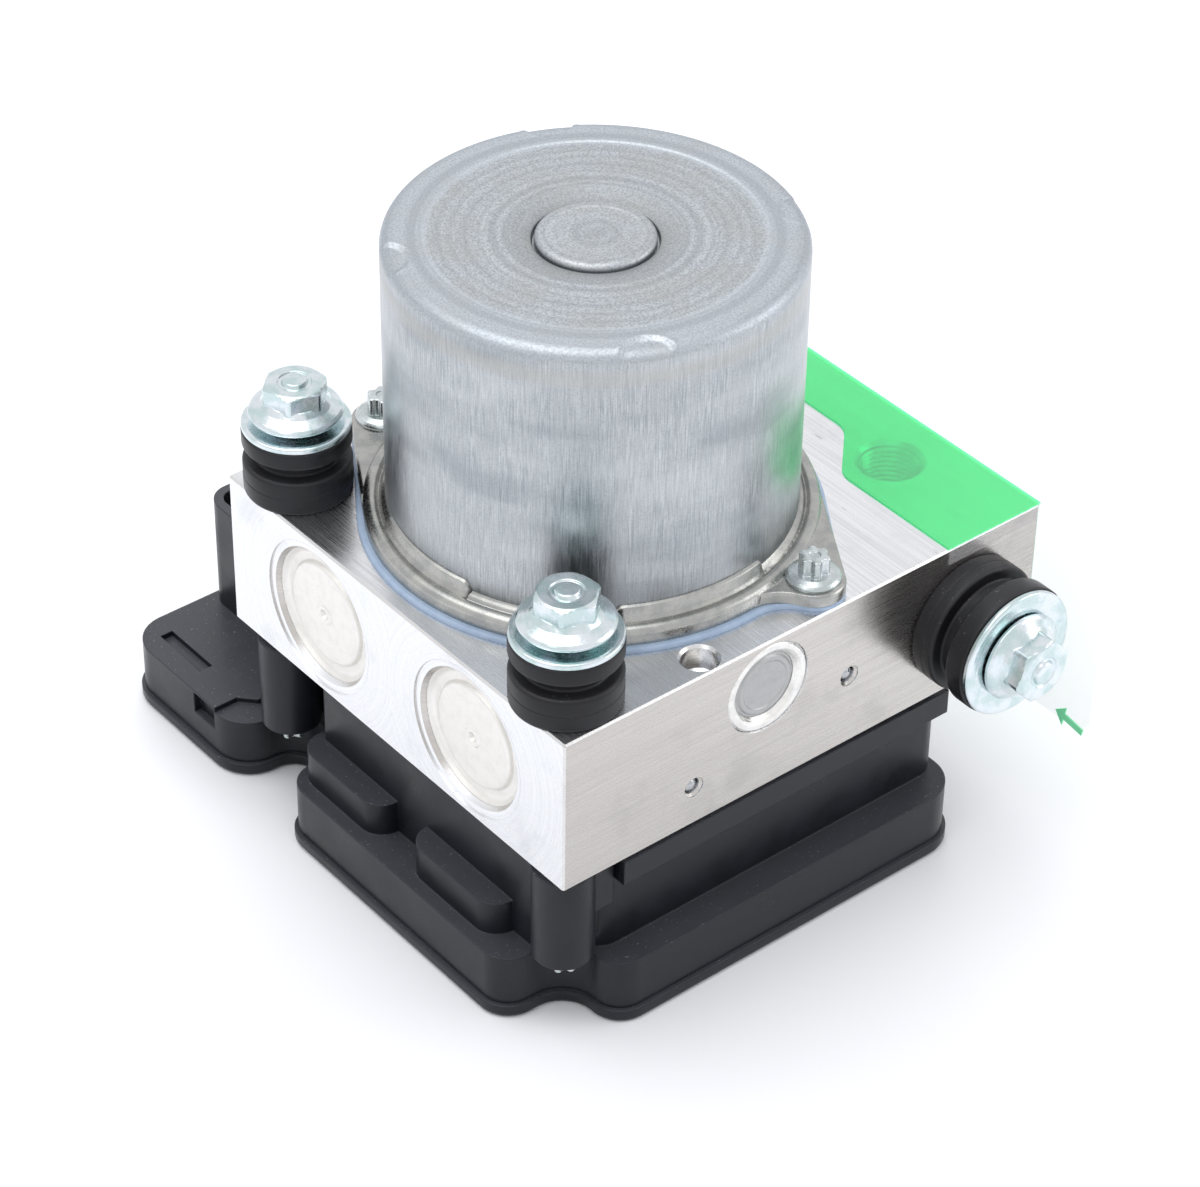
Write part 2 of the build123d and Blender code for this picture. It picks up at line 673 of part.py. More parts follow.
def coil_head(inner, outer, low, high):
    """Ring of wire ends with rounded edges."""
    return turned(
        (inner + WIRE_ROUND, low), (outer - WIRE_ROUND, low), (outer, low + WIRE_ROUND),
        (outer, high - WIRE_ROUND), (outer - WIRE_ROUND, high), (inner + WIRE_ROUND, high),
        (inner, high - WIRE_ROUND), (inner, low + WIRE_ROUND),
    )


def make_armature_windings():
    inner = SLOT_MID - SLOT_LENGTH / 2 + 2 * WIRE_GAP
    outer = SLOT_MID + SLOT_LENGTH / 2 - WIRE_GAP
    low = CORE_FROM - WIRE_GAP
    high = CORE_TO + WIRE_GAP
    wound = coil_head(inner, outer, low - WIRE_HEAD, low) + coil_head(inner, outer, high, high + WIRE_HEAD)
    size = (SLOT_LENGTH - 2 * WIRE_GAP, SLOT_WIDTH - 2 * WIRE_GAP)
    bundle = slab(Pos(SLOT_MID, 0) * RectangleRounded(*size, 0.8), low - WIRE_ROUND, high + WIRE_ROUND)
    for k in range(SLOTS):
        wound += Rot(0, 0, k * 360 / SLOTS) * bundle
    return Pos(0, 0, BLOCK_TOP) * wound


def make_commutator():
    riser_r = COMMUTATOR_R + RISER_PROUD
    drum = turned(
        (SHAFT_R + SEATED, COMMUTATOR_FROM), (COMMUTATOR_R, COMMUTATOR_FROM),
        (COMMUTATOR_R, COMMUTATOR_TO - RISER), (riser_r, COMMUTATOR_TO - RISER),
        (riser_r, COMMUTATOR_TO), (SHAFT_R + SEATED, COMMUTATOR_TO),
    )
    cut = block_between(
        (COMMUTATOR_R - BAR_GAP_DEPTH, -BAR_GAP / 2, COMMUTATOR_FROM - 1),
        (riser_r + 1, BAR_GAP / 2, COMMUTATOR_TO + 1),
    )
    for k in range(SLOTS):
        drum -= Rot(0, 0, (k + 0.5) * 360 / SLOTS) * cut
    return Pos(0, 0, BLOCK_TOP) * drum


def make_eccentric():
    half = RING_W / 2 + 2 * SLACK
    disc = rod(ECCENTRIC_R, PUMP_Z - half, PUMP_Z + half, ECCENTRICITY)
    return disc - rod(SHAFT_END_R + SEATED, PUMP_Z - half - 1, PUMP_Z + half + 1)


def make_cam_ring():
    half = RING_W / 2
    ring = tube(RING_R, ECCENTRIC_R + RUN, PUMP_Z - half, PUMP_Z + half, ECCENTRICITY)
    rims = ring.edges().filter_by(GeomType.CIRCLE).sort_by(SortBy.RADIUS)[-2:]
    return chamfer(rims, BEVEL)


# Brush gear
def terminal(y, thick, wide, low, high):
    """Flat blade in the tower, between two heights over the block's top."""
    return block_between(
        (TOWER_X - wide / 2, y - thick / 2, low), (TOWER_X + wide / 2, y + thick / 2, high)
    )


def make_brush_holder():
    top = HOLDER_LOW + HOLDER_T
    plate = tube(CAN_R - CAN_WALL - SLACK, HOLDER_BORE, HOLDER_LOW, top)
    half = BRUSH_W / 2 + BRUSH_TUBE_WALL
    high = BRUSH_LOW + BRUSH_W + SLACK + BRUSH_TUBE_WALL
    channel = BRUSH_W / 2 + RUN
    cell = block_between((BRUSH_TUBE_FROM, -half, HOLDER_LOW), (BRUSH_TUBE_END + 1, half, high))
    cell -= block_between(
        (0, -channel, BRUSH_LOW - RUN), (BRUSH_TUBE_END, channel, BRUSH_LOW + BRUSH_W + RUN)
    )
    for angle in BRUSH_ANGLES:
        plate += Rot(0, 0, angle) * cell
    tower_low = BLOCK_BOTTOM - TOWER_REACH - BLOCK_TOP
    plate += rod(TOWER_R, tower_low, top, TOWER_X)
    for y in TERMINAL_Y:
        plate -= terminal(y, TERMINAL_T + 2 * RUN, TERMINAL_W + 2 * RUN, tower_low - 1, top + 1)
    return Pos(0, 0, BLOCK_TOP) * plate


def make_motor_terminals():
    low = BOARD_AT + BOARD_T - BLOCK_TOP
    high = HOLDER_LOW + HOLDER_T + TERMINAL_RISE
    blades = [terminal(y, TERMINAL_T, TERMINAL_W, low, high) for y in TERMINAL_Y]
    return [Pos(0, 0, BLOCK_TOP) * blade for blade in blades]


def make_brush(angle):
    brush = block_between(
        (BRUSH_TIP, -BRUSH_W / 2, BRUSH_LOW), (BRUSH_TIP + BRUSH_L, BRUSH_W / 2, BRUSH_LOW + BRUSH_W)
    )
    brush -= rod(COMMUTATOR_R + SLACK / 2, 0, COMMUTATOR_TO)
    return Pos(0, 0, BLOCK_TOP) * Rot(0, 0, angle) * brush


def make_brush_spring(angle):
    start = BRUSH_TIP + BRUSH_L
    coil = spring(BRUSH_SPRING_R, BRUSH_WIRE_R, 0, BRUSH_TUBE_END - start, 4)
    along = seat((start, 0, BRUSH_LOW + BRUSH_W / 2), (1, 0, 0))
    return Pos(0, 0, BLOCK_TOP) * Rot(0, 0, angle) * along * coil


# Places on the block's faces, each with local Z running into the metal
def pump_place(side):
    return seat((0, side * BLOCK_HALF_Y, PUMP_Z), (0, -side, 0))


def accumulator_place(side):
    return seat((BLOCK_X0, side * ACC_Y, BLOCK_TOP - ACC_DROP), (1, 0, 0))


def wheel_port_place(y):
    return seat((BLOCK_X1, y, BLOCK_TOP - WHEEL_PORT_DROP), (-1, 0, 0))


def mount_places():
    """Rubber mounts: place with local Z pointing away from the block, and whether it is large."""
    x, y = TOP_MOUNT
    side_x, side_drop = SIDE_MOUNT
    return (
        ("left", Location((x, y, BLOCK_TOP)), False),
        ("front", Location((x, -y, BLOCK_TOP)), False),
        ("side", seat((side_x, -BLOCK_HALF_Y, BLOCK_TOP - side_drop), (0, -1, 0)), True),
    )


# Hydraulic block
def drill(r, depth, mouth):
    """Blind hole into local +Z, with a chamfer at its mouth and a cone at its end."""
    return turned((0, -1), (r + mouth, -1), (r + mouth, 0), (r, mouth), (r, depth), (0, depth + r / 2))


def pump_bore():
    """Stepped bore for plug, sleeve and piston, open into the cam chamber."""
    sleeve_end = SLEEVE_MOUTH + 2.0
    bore = rod(PLUG_R + SEATED, -1, PLUG_SHOULDER)
    bore += rod(SLEEVE_R + SEATED, PLUG_SHOULDER - 1, sleeve_end)
    return bore + rod(PISTON_R + 4 * SLACK, sleeve_end - 1, BLOCK_HALF_Y - CHAMBER_R + 1.5)


def accumulator_bore():
    """Bore with a wide shallow mouth round its cap."""
    return turned(
        (0, -1), (ACC_MOUTH_R, -1), (ACC_MOUTH_R, BEVEL), (ACC_MOUTH_EDGE_R, BEVEL + SLACK),
        (ACC_BORE_R, ACC_MOUTH_DEPTH), (ACC_BORE_R, ACC_BORE_DEPTH), (0, ACC_BORE_DEPTH),
    )


def staked_hole():
    """Drilling whose mouth was staked over a ball."""
    ball_r = STAKED_BALL_R + SEATED
    ring_r = STAKED_BALL_R + STAKED_RING_W
    depth = STAKED_BORE_DEPTH
    return turned(
        (0, -1), (ring_r, -1), (ring_r, BEVEL), (ball_r, 2 * BEVEL), (ball_r, depth),
        (PASSAGE_R, depth + 2 * BEVEL), (PASSAGE_R, PASSAGE_DEPTH), (0, PASSAGE_DEPTH),
    )


def make_hydraulic_block():
    body = block_between(
        (BLOCK_X0, -BLOCK_HALF_Y, BLOCK_BOTTOM), (BLOCK_X1, BLOCK_HALF_Y, BLOCK_TOP)
    )
    body = chamfer(body.edges(), BLOCK_EDGE)
    body -= rod(CHAMBER_R, BLOCK_TOP - CHAMBER_DEPTH, BLOCK_TOP)
    body -= rod(FRONT_BEARING_R, BLOCK_TOP - FRONT_BEARING_DROP, BLOCK_TOP + 1)
    body -= rod(TOWER_R + TOWER_ROOM, BLOCK_BOTTOM - 1, BLOCK_TOP + 1, TOWER_X)
    for side in (-1, 1):
        body -= pump_place(side) * pump_bore()
        body -= accumulator_place(side) * accumulator_bore()
        port = Location((MASTER_PORT[0], side * MASTER_PORT[1], BLOCK_TOP)) * Rot(180, 0, 0)
        body -= port * drill(MASTER_PORT_R, PORT_DEPTH, PORT_MOUTH)
        for y in WHEEL_PORT_Y:
            body -= wheel_port_place(side * y) * drill(WHEEL_PORT_R, PORT_DEPTH, PORT_MOUTH)
    for x, y in VALVES:
        body -= rod(VALVE_BORE_R, BLOCK_BOTTOM - 1, BLOCK_BOTTOM + VALVE_BORE_DEPTH, x, y)
    for y in VALVE_Y:
        port_y = min((s * w for s in (-1, 1) for w in WHEEL_PORT_Y), key=lambda w: abs(w - y))
        start = (BLOCK_X1 - PORT_DEPTH, (y + port_y) / 2, BLOCK_BOTTOM + VALVE_BORE_DEPTH - 2)
        run = start[0] - VALVE_ROWS_X[0] - VALVE_BORE_R + DRILLING_R
        body -= seat(start, (-1, 0, 0)) * rod(DRILLING_R, -1, run)
    for _, place, large in mount_places():
        body -= place * Rot(180, 0, 0) * drill(MOUNT_BOLT_R, MOUNT_BOLT_DEPTH, BEVEL)
    for x, y in EARS:
        body -= rod(MOTOR_SCREW_R, BLOCK_TOP - MOTOR_SCREW_DEPTH, BLOCK_TOP + 1, x, y)
    for x, y in COLUMNS:
        body -= rod(ECU_SCREW_R, BLOCK_BOTTOM - 1, BLOCK_BOTTOM + ECU_SCREW_DEPTH, x, y)
    for x, drop in STAKED_BALLS:
        body -= seat((x, -BLOCK_HALF_Y, BLOCK_TOP - drop), (0, 1, 0)) * staked_hole()
    dowel = Location((*DOWEL_HOLE, BLOCK_TOP)) * Rot(180, 0, 0)
    return body - dowel * drill(DOWEL_HOLE_R, DOWEL_HOLE_DEPTH, DOWEL_HOLE_MOUTH)


def make_ball_plugs():
    y = STAKED_SUNK + STAKED_BALL_R - BLOCK_HALF_Y
    return [Pos(x, y, BLOCK_TOP - drop) * Sphere(STAKED_BALL_R) for x, drop in STAKED_BALLS]


# Pumps
def make_pump_plug(side):
    wall_r = PLUG_R - PLUG_RIM
    plug = turned(
        (0, PLUG_RECESS + PLUG_DISH), (PLUG_DISH_R - PLUG_DISH, PLUG_RECESS + PLUG_DISH),
        (PLUG_DISH_R, PLUG_RECESS), (wall_r - BEVEL, PLUG_RECESS), (wall_r, PLUG_RECESS - 5 * BEVEL),
        (wall_r + 2 * BEVEL, BEVEL), (PLUG_R - 2 * BEVEL, 0), (PLUG_R, BEVEL), (PLUG_R, PLUG_T), (0, PLUG_T),
    )
    return pump_place(side) * plug


def make_pump_sleeve(side):
    start = PLUG_SHOULDER
    sleeve = turned(
        (SLEEVE_PORT_R, start), (SLEEVE_R - BEVEL, start), (SLEEVE_R, start + BEVEL),
        (SLEEVE_R, SLEEVE_MOUTH), (PISTON_R + RUN, SLEEVE_MOUTH),
        (PISTON_R + RUN, SLEEVE_BOTTOM), (SLEEVE_PORT_R, SLEEVE_BOTTOM),
    )
    middle = (start + SLEEVE_BOTTOM) / 2
    sleeve -= Pos(0, 0, middle) * Rot(90, 0, 0) * rod(SLEEVE_CROSS_R, -SLEEVE_R - 1, SLEEVE_R + 1)
    return pump_place(side) * sleeve


def make_pump_piston(side):
    back = PISTON_TIP - PISTON_LENGTH
    centre_r = 4 * BEVEL
    piston = turned(
        (0, PISTON_TIP), (PISTON_R - PISTON_CROWN, PISTON_TIP), (PISTON_R, PISTON_TIP - PISTON_CROWN),
        (PISTON_R, back + BEVEL), (PISTON_R - BEVEL, back), (centre_r, back), (centre_r, back + PISTON_R),
        (0, back + PISTON_R),
    )
    return pump_place(side) * piston


def make_pump_spring(side):
    end = PISTON_TIP - PISTON_LENGTH
    return pump_place(side) * spring(PUMP_SPRING_R, PUMP_WIRE_R, SLEEVE_BOTTOM, end, 4)


# Accumulators
def make_accumulator_cap(side):
    face = ACC_CAP_FACE
    face_r = ACC_CAP_FACE_R
    low = ACC_CAP_AT
    cap = turned(
        (0, face + 2 * BEVEL), (0.7, face + 2 * BEVEL), (1.0, face - BEVEL / 2), (1.5, face - BEVEL / 2),
        (1.8, face), (face_r - BEVEL, face), (face_r, face + BEVEL), (face_r + BEVEL, low),
        (ACC_BORE_R - SEATED, low), (ACC_BORE_R - SEATED, low + ACC_CAP_T), (0, low + ACC_CAP_T),
    )
    return accumulator_place(side) * cap


def make_accumulator_piston(side):
    r = ACC_PISTON_R
    high = ACC_PISTON_HIGH
    low = high - ACC_PISTON_L
    groove = high - ACC_RING_AT
    half = ACC_RING_R + SLACK
    groove_r = r - 2 * ACC_RING_R
    piston = turned(
        (0, low + ACC_CUP_DEPTH), (ACC_CUP_R, low + ACC_CUP_DEPTH), (ACC_CUP_R, low), (r, low),
        (r, groove - half), (groove_r, groove - half), (groove_r, groove + half),
        (r, groove + half), (r, high - BEVEL), (r - BEVEL, high), (0, high),
    )
    return accumulator_place(side) * piston


def make_accumulator_ring(side):
    ring_mid = ACC_PISTON_R - ACC_RING_R + SEATED / 2
    ring = Pos(0, 0, ACC_PISTON_HIGH - ACC_RING_AT) * Torus(ring_mid, ACC_RING_R)
    return accumulator_place(side) * ring


def make_accumulator_spring(side):
    high = ACC_PISTON_HIGH - ACC_PISTON_L + ACC_CUP_DEPTH
    mid_r = ACC_CUP_R - ACC_WIRE_R - BEVEL
    return accumulator_place(side) * spring(mid_r, ACC_WIRE_R, ACC_CAP_AT + ACC_CAP_T, high, 3)


# Valves
def valve_cartridge(neck_r):
    """Valve body pressed up into the block, with its closed dome below."""
    low = BLOCK_BOTTOM
    high = BLOCK_BOTTOM + VALVE_BORE_DEPTH - 4 * SLACK
    seat_r = VALVE_BORE_R - SEATED
    body = turned(
        (0, DOME_FROM), (DOME_R - 0.8, DOME_FROM), (DOME_R, DOME_FROM + 0.8), (DOME_R, low),
        (seat_r, low), (seat_r, low + VALVE_SHOULDER), (neck_r, low + VALVE_SHOULDER + 0.8),
        (neck_r, high - 2), (neck_r - 1, high), (0, high),
    )
    return body - rod(DOME_R - DOME_WALL, ARMATURE_LOW - 2 * SLACK, ARMATURE_TOP + VALVE_STROKE + 4 * SLACK)


def make_valves(row):
    return [Pos(VALVE_ROWS_X[row], y) * valve_cartridge(VALVE_NECKS_R[row]) for y in VALVE_Y]


def make_valve_armature(x, y):
    r = DOME_R - DOME_WALL - RUN
    return Pos(x, y) * turned(
        (0, ARMATURE_LOW), (r - BEVEL, ARMATURE_LOW), (r, ARMATURE_LOW + BEVEL),
        (r, ARMATURE_TOP - BEVEL), (r - BEVEL, ARMATURE_TOP), (0, ARMATURE_TOP),
    )


# Solenoid coils
def make_valve_coils():
    bobbin_r = DOME_R + BEVEL
    wound_r = COIL_R - BOBBIN_PROUD
    coil = turned(
        (bobbin_r, COIL_LOW), (COIL_R, COIL_LOW), (COIL_R, COIL_LOW + BOBBIN_T),
        (wound_r, COIL_LOW + BOBBIN_T), (wound_r, COIL_TOP - BOBBIN_T),
        (COIL_R, COIL_TOP - BOBBIN_T), (COIL_R, COIL_TOP), (bobbin_r, COIL_TOP),
    )
    for lead_y in LEAD_Y:
        coil += rod(LEAD_R, BOARD_AT + BOARD_T, COIL_LOW + LEAD_R, LEAD_INSET - COIL_R, lead_y)
    return [Pos(x, y) * coil for x, y in VALVES]


def make_coil_yokes():
    r_in = COIL_R + SLACK
    dome_r = DOME_R + SLACK
    low = COIL_LOW - 5 * SLACK
    high = COIL_TOP + SLACK
    yoke = turned(
        (dome_r, high), (r_in, high), (r_in, low), (COIL_CASE_R, low),
        (COIL_CASE_R, high + YOKE_PLATE), (dome_r, high + YOKE_PLATE),
    )
    return [Pos(x, y) * yoke for x, y in VALVES]


# Rubber mounts, each built with its foot at z = 0
def rubber_sizes(large):
    """Rubber's radius, its groove's lower and upper edge, and its height."""
    if large:
        return SIDE_RUBBER_R, SIDE_RUBBER_LOW, SIDE_RUBBER_HIGH, SIDE_RUBBER_H
    return TOP_RUBBER_R, TOP_RUBBER_LOW, TOP_RUBBER_HIGH, TOP_RUBBER_H


def make_rubber(large):
    r, groove, groove_top, top = rubber_sizes(large)
    waist_r = r - RUBBER_WAIST
    edge = RUBBER_EDGE
    return turned(
        (BUSH_R + SEATED, 0), (r - BEVEL, 0), (r, BEVEL), (r, groove - edge), (r - edge, groove),
        (waist_r, groove), (waist_r, groove_top), (r - edge, groove_top), (r, groove_top + edge),
        (r, top - BEVEL), (r - BEVEL, top), (BUSH_R + SEATED, top),
    )


def make_bush(large):
    """Steel bush with a washer-like collar on the rubber."""
    r = SIDE_COLLAR_R if large else TOP_COLLAR_R
    low = rubber_sizes(large)[3]
    high = low + COLLAR_T
    bore = MOUNT_BOLT_R + SLACK
    return turned(
        (bore, 0), (BUSH_R, 0), (BUSH_R, low), (r - BEVEL, low), (r, low + BEVEL),
        (r, high - BEVEL), (r - BEVEL, high), (bore, high),
    )


def make_flange_bolt(large):
    """Hexagon bolt with a coned flange and a turned pip on its head."""
    low = rubber_sizes(large)[3] + COLLAR_T
    edge = low + (SIDE_BOLT_RISE if large else TOP_BOLT_RISE)
    flange_top = edge + BOLT_FLANGE_T
    hex_low = edge + BOLT_HEX_FROM
    hex_top = edge + BOLT_HEX_TO
    root = hex_low + BEVEL
    bolt = rod(MOUNT_BOLT_R - SEATED, BEVEL - MOUNT_BOLT_DEPTH, low + BEVEL)
    bolt += turned(
        (0, low), (BOLT_NECK_R - TOP_BOLT_RISE, low), (BOLT_FLANGE_R - BEVEL, edge),
        (BOLT_FLANGE_R, edge + BEVEL), (BOLT_FLANGE_R, flange_top - BEVEL),
        (BOLT_FLANGE_R - BEVEL, flange_top), (BOLT_NECK_R, root), (0, root),
    )
    section = RegularPolygon(BOLT_HEX / 2, 6, major_radius=False, rotation=BOLT_HEX_TURN)
    corner_r = BOLT_HEX / 3**0.5 + SLACK
    crown = turned(
        (0, hex_low - 1), (corner_r, hex_low - 1), (corner_r, hex_top - BOLT_HEX_CROWN),
        (BOLT_HEX / 2 - 2 * SLACK, hex_top), (0, hex_top),
    )
    bolt += slab(section, hex_low - BEVEL, hex_top) & crown
    bolt -= tube(BOLT_RING_R, BOLT_PIP_R, hex_top - BEVEL, hex_top + 1)
    return bolt + turned(
        (0, hex_top - BEVEL), (BOLT_PIP_R, hex_top - BEVEL), (BOLT_PIP_R, hex_top),
        (BOLT_PIP_R - BOLT_PIP_H, hex_top + BOLT_PIP_H), (0, hex_top + BOLT_PIP_H),
    )


# Control unit housing
def tray_outline(grow):
    """Tray seen from above with its two screw bays, grown outward by a margin."""
    g = grow
    soft = TRAY_CORNER_R + g
    side_bay = SIDE_BAY_R - g
    return outline(
        (TRAY_X0 - g, BAY_Y - g, soft),
        (BAY_X - g, BAY_Y - g, BAY_R - g),
        (BAY_X - g, -TRAY_HALF_Y - g, soft),
        (TRAY_X1 + g, -TRAY_HALF_Y - g, TRAY_FRONT_CORNER_R + g),
        (TRAY_X1 + g, TRAY_HALF_Y + g, soft),
        (PLUG_END_X1 + g, TRAY_HALF_Y + g, INNER_CORNER_R - g),
        (PLUG_END_X1 + g, PLUG_END_Y1 + g, soft),
        (PLUG_END_X0 - g, PLUG_END_Y1 + g, PLUG_END_R + g),
        (PLUG_END_X0 - g, SIDE_BAY_Y1 - g, PLUG_END_R + g),
        (SIDE_BAY_X - g, SIDE_BAY_Y1 - g, side_bay),
        (SIDE_BAY_X - g, SIDE_BAY_Y0 + g, side_bay),
        (TRAY_X0 - g, SIDE_BAY_Y0 - SIDE_BAY_SLOPE + g, soft),
    )


def side_outline(grow):
    """Upper walls seen from above, grown outward by a margin."""
    g = grow
    r = SIDE_CORNER_R
    back_r = SIDE_BACK_CORNER_R + g
    return outline(
        (SIDE_X0 - g, BAY_Y - g, r), (BAY_X - g, BAY_Y - g, r),
        (BAY_X - g, SIDE_FRONT_Y - g, SIDE_FRONT_CORNER_R + g),
        (SIDE_X1 + g, SIDE_FRONT_Y - g, back_r), (SIDE_X1 + g, SIDE_BACK_Y + g, back_r),
        (BAY_X - g, SIDE_BACK_Y + g, r), (BAY_X - g, SIDE_RECESS_Y + g, r),
        (SIDE_X0 - g, SIDE_RECESS_Y + g, r),
    )


def side_bump(low_y, high_y):
    """Swelling on the housing's accumulator side, with rounded upright corners."""
    plan = outline(
        (BUMP_X0, low_y, BUMP_R), (SIDE_X0 + 1, low_y, 0), (SIDE_X0 + 1, high_y, 0), (BUMP_X0, high_y, BUMP_R)
    )
    return slab(plan, TRAY_TOP - WALL / 2, BUMP_TOP)


def column(x, y):
    """Screw column with its spigot into the block's seal and a web to the wall."""
    wall_x = BAY_X + 1 if x < 0 else SIDE_X1 - 1
    half = COLUMN_WEB_W / 2
    body = rod(COLUMN_R, COLUMN_FROM, WALL_TOP, x, y)
    body += rod(COLUMN_TOP_R, WALL_TOP, BLOCK_BOTTOM - SLACK, x, y)
    return body + block_between(
        (min(x, wall_x), y - half, COLUMN_WEB_FROM), (max(x, wall_x), y + half, WALL_TOP)
    )


def end_details():
    """Ledge, pocket and side window cut into the flat connector end."""
    inner_x, mid_x, far_x = LEDGE_X
    front = SIDE_BAY_Y1 - 1.5
    plan = outline(
        (PLUG_END_X0 - 1, LEDGE_Y, 0), (PLUG_END_X0 - 1, front, 0), (far_x, front, 0),
        (far_x, LEDGE_Y - LEDGE_STEP, 0), (mid_x, LEDGE_Y - LEDGE_STEP, 0), (inner_x, LEDGE_Y, 0),
    )
    ledge = slab(plan, TRAY_TOP - LEDGE_DROP, TRAY_TOP + 1)
    groove = Pos(*END_GROOVE) * Rectangle(END_GROOVE_W, END_GROOVE_L)
    pocket = slab(groove, TRAY_TOP - END_GROOVE_DEPTH, TRAY_TOP + 1)
    window = block_between(
        (PLUG_END_X0 - 1, WINDOW_Y[0], WINDOW_Z[0]), (PLUG_END_X0 + WINDOW_DEPTH, WINDOW_Y[1], WINDOW_Z[1])
    )
    return ledge, pocket, window


def make_ecu_housing():
    body = slab(tray_outline(0), COVER_T, TRAY_TOP)
    body += slab(side_outline(0), TRAY_TOP - WALL, WALL_TOP)
    shroud = outline(
        (SHROUD_X0, SHROUD_Y0, SHROUD_R), (SHROUD_X1, SHROUD_Y0, SHROUD_R),
        (SHROUD_X1, PLUG_END_Y1, SHROUD_R), (SHROUD_X0, PLUG_END_Y1, SHROUD_R),
    )
    body += slab(shroud, TRAY_TOP - WALL, TRAY_TOP + SHROUD_H)
    for low_y, high_y in BUMPS:
        body += side_bump(low_y, high_y)
    for x, y in COLUMNS:
        body += column(x, y)
    web_x, web_y, web_z = CORNER_WEB
    body += block_between((COLUMNS[0][0], web_y, web_z), (web_x, SIDE_FRONT_Y + WALL, WALL_TOP))
    body += block_between(
        (LIP_X0, SIDE_FRONT_Y - LIP_PROUD, WALL_TOP - LIP_H), (LIP_X1, SIDE_FRONT_Y + 1, WALL_TOP)
    )
    body -= slab(tray_outline(-WALL), COVER_T - 1, TRAY_TOP - WALL)
    body -= slab(side_outline(-WALL), TRAY_TOP - WALL - 1, WALL_TOP + 1)
    body -= slab(offset(shroud, -SHROUD_WALL), TRAY_TOP, TRAY_TOP + SHROUD_H + 1)
    for x, y in COLUMNS:
        body -= rod(ECU_SCREW_R + SLACK, COLUMN_FROM - 1, BLOCK_BOTTOM, x, y)
    for x, y, size_x, size_y in PIN_FIELD:
        body -= Pos(x, y, TRAY_TOP) * Box(size_x + 2 * SLACK, size_y + 2 * SLACK, 3 * WALL)
    for x, y in BOARD_POSTS:
        body += rod(BOARD_POST_R, BOARD_AT + BOARD_T, TRAY_TOP - WALL / 2, x, y)
    for cut in end_details():
        body -= cut
    return body


def make_ecu_cover():
    seam = COVER_T - COVER_SEAM
    lower = slab(tray_outline(COVER_RIM), 0, seam)
    bottom = lower.edges().filter_by(lambda e: e.center().Z < COVER_SEAM / 2)
    lower = fillet(bottom, COVER_EDGE)
    return lower + slab(tray_outline(-COVER_SEAM_DEPTH), seam - COVER_PLATE, COVER_T)


def make_ecu_seal():
    ring = side_outline(-BEVEL) - side_outline(BEVEL - WALL)
    return slab(ring, WALL_TOP, BLOCK_BOTTOM)


def make_ecu_screws():
    head_low = COLUMN_FROM - ECU_SCREW_HEAD_T
    screw = rod(ECU_SCREW_R - SEATED, head_low, BLOCK_BOTTOM + ECU_SCREW_DEPTH - BEVEL)
    screw += rod(ECU_SCREW_HEAD_R, head_low, COLUMN_FROM)
    screw += star_head(ECU_SCREW_STAR_R, head_low - ECU_SCREW_STAR_H, head_low + BEVEL)
    return [Pos(x, y) * screw for x, y in COLUMNS]


# Circuit board and connector pins
def make_circuit_board():
    top = BOARD_AT + BOARD_T
    board = slab(tray_outline(-WALL - BOARD_ROOM), BOARD_AT, top)
    for x, y, size_x, size_y, height in PACKAGES:
        board += block_between(
            (x - size_x / 2, y - size_y / 2, top - SLACK), (x + size_x / 2, y + size_y / 2, top + height)
        )
    neck_low, neck_high = CAPACITOR_NECK
    neck_r = CAPACITOR_R - CAPACITOR_NECK_DEPTH
    for x, y in CAPACITORS:
        can = rod(CAPACITOR_R, top - SLACK, top + CAPACITOR_H, x, y)
        board += can - tube(CAPACITOR_R + 1, neck_r, top + neck_low, top + neck_high, x, y)
    return board


def make_connector_pins():
    return [
        block_between((x - a / 2, y - b / 2, BOARD_AT + BOARD_T), (x + a / 2, y + b / 2, PIN_TOP))
        for x, y, a, b in PIN_FIELD
    ]


# Port film
def make_port_film():
    y1 = BLOCK_HALF_Y
    front = -y1 - FILM_T
    edge_x = BLOCK_X1 + FILM_T
    bend = FILM_BEND_R
    top = outline(
        (edge_x, front, 0), (edge_x, y1, 0), (FILM_X0, y1, 0), (FILM_X0, FILM_SHOULDER_Y, bend),
        (FILM_WAIST_X, FILM_NECK_Y, bend), (FILM_WAIST_X, -FILM_NECK_Y, bend),
        (FILM_X0, -FILM_SHOULDER_Y, bend), (FILM_X0, front, 0),
    )
    film = slab(top, BLOCK_TOP, BLOCK_TOP + FILM_T)
    film += block_between((FILM_X0, front, BLOCK_TOP - FILM_LIP), (edge_x, -y1, BLOCK_TOP + FILM_T))
    tab_end = -y1 - FILM_TAB
    sheet = outline(
        (tab_end, -FILM_DROP, FILM_TAB_R), (tab_end, -FILM_TAB_DROP, FILM_TAB_R),
        (-y1 - FILM_LIP, FILM_T, FILM_TAB_R / 2), (y1, FILM_T, 0), (y1, -FILM_DROP, 0),
    )
    plane = Plane(origin=(BLOCK_X1, 0, BLOCK_TOP), x_dir=(0, 1, 0), z_dir=(1, 0, 0))
    return film + extrude(plane * sheet, FILM_T)


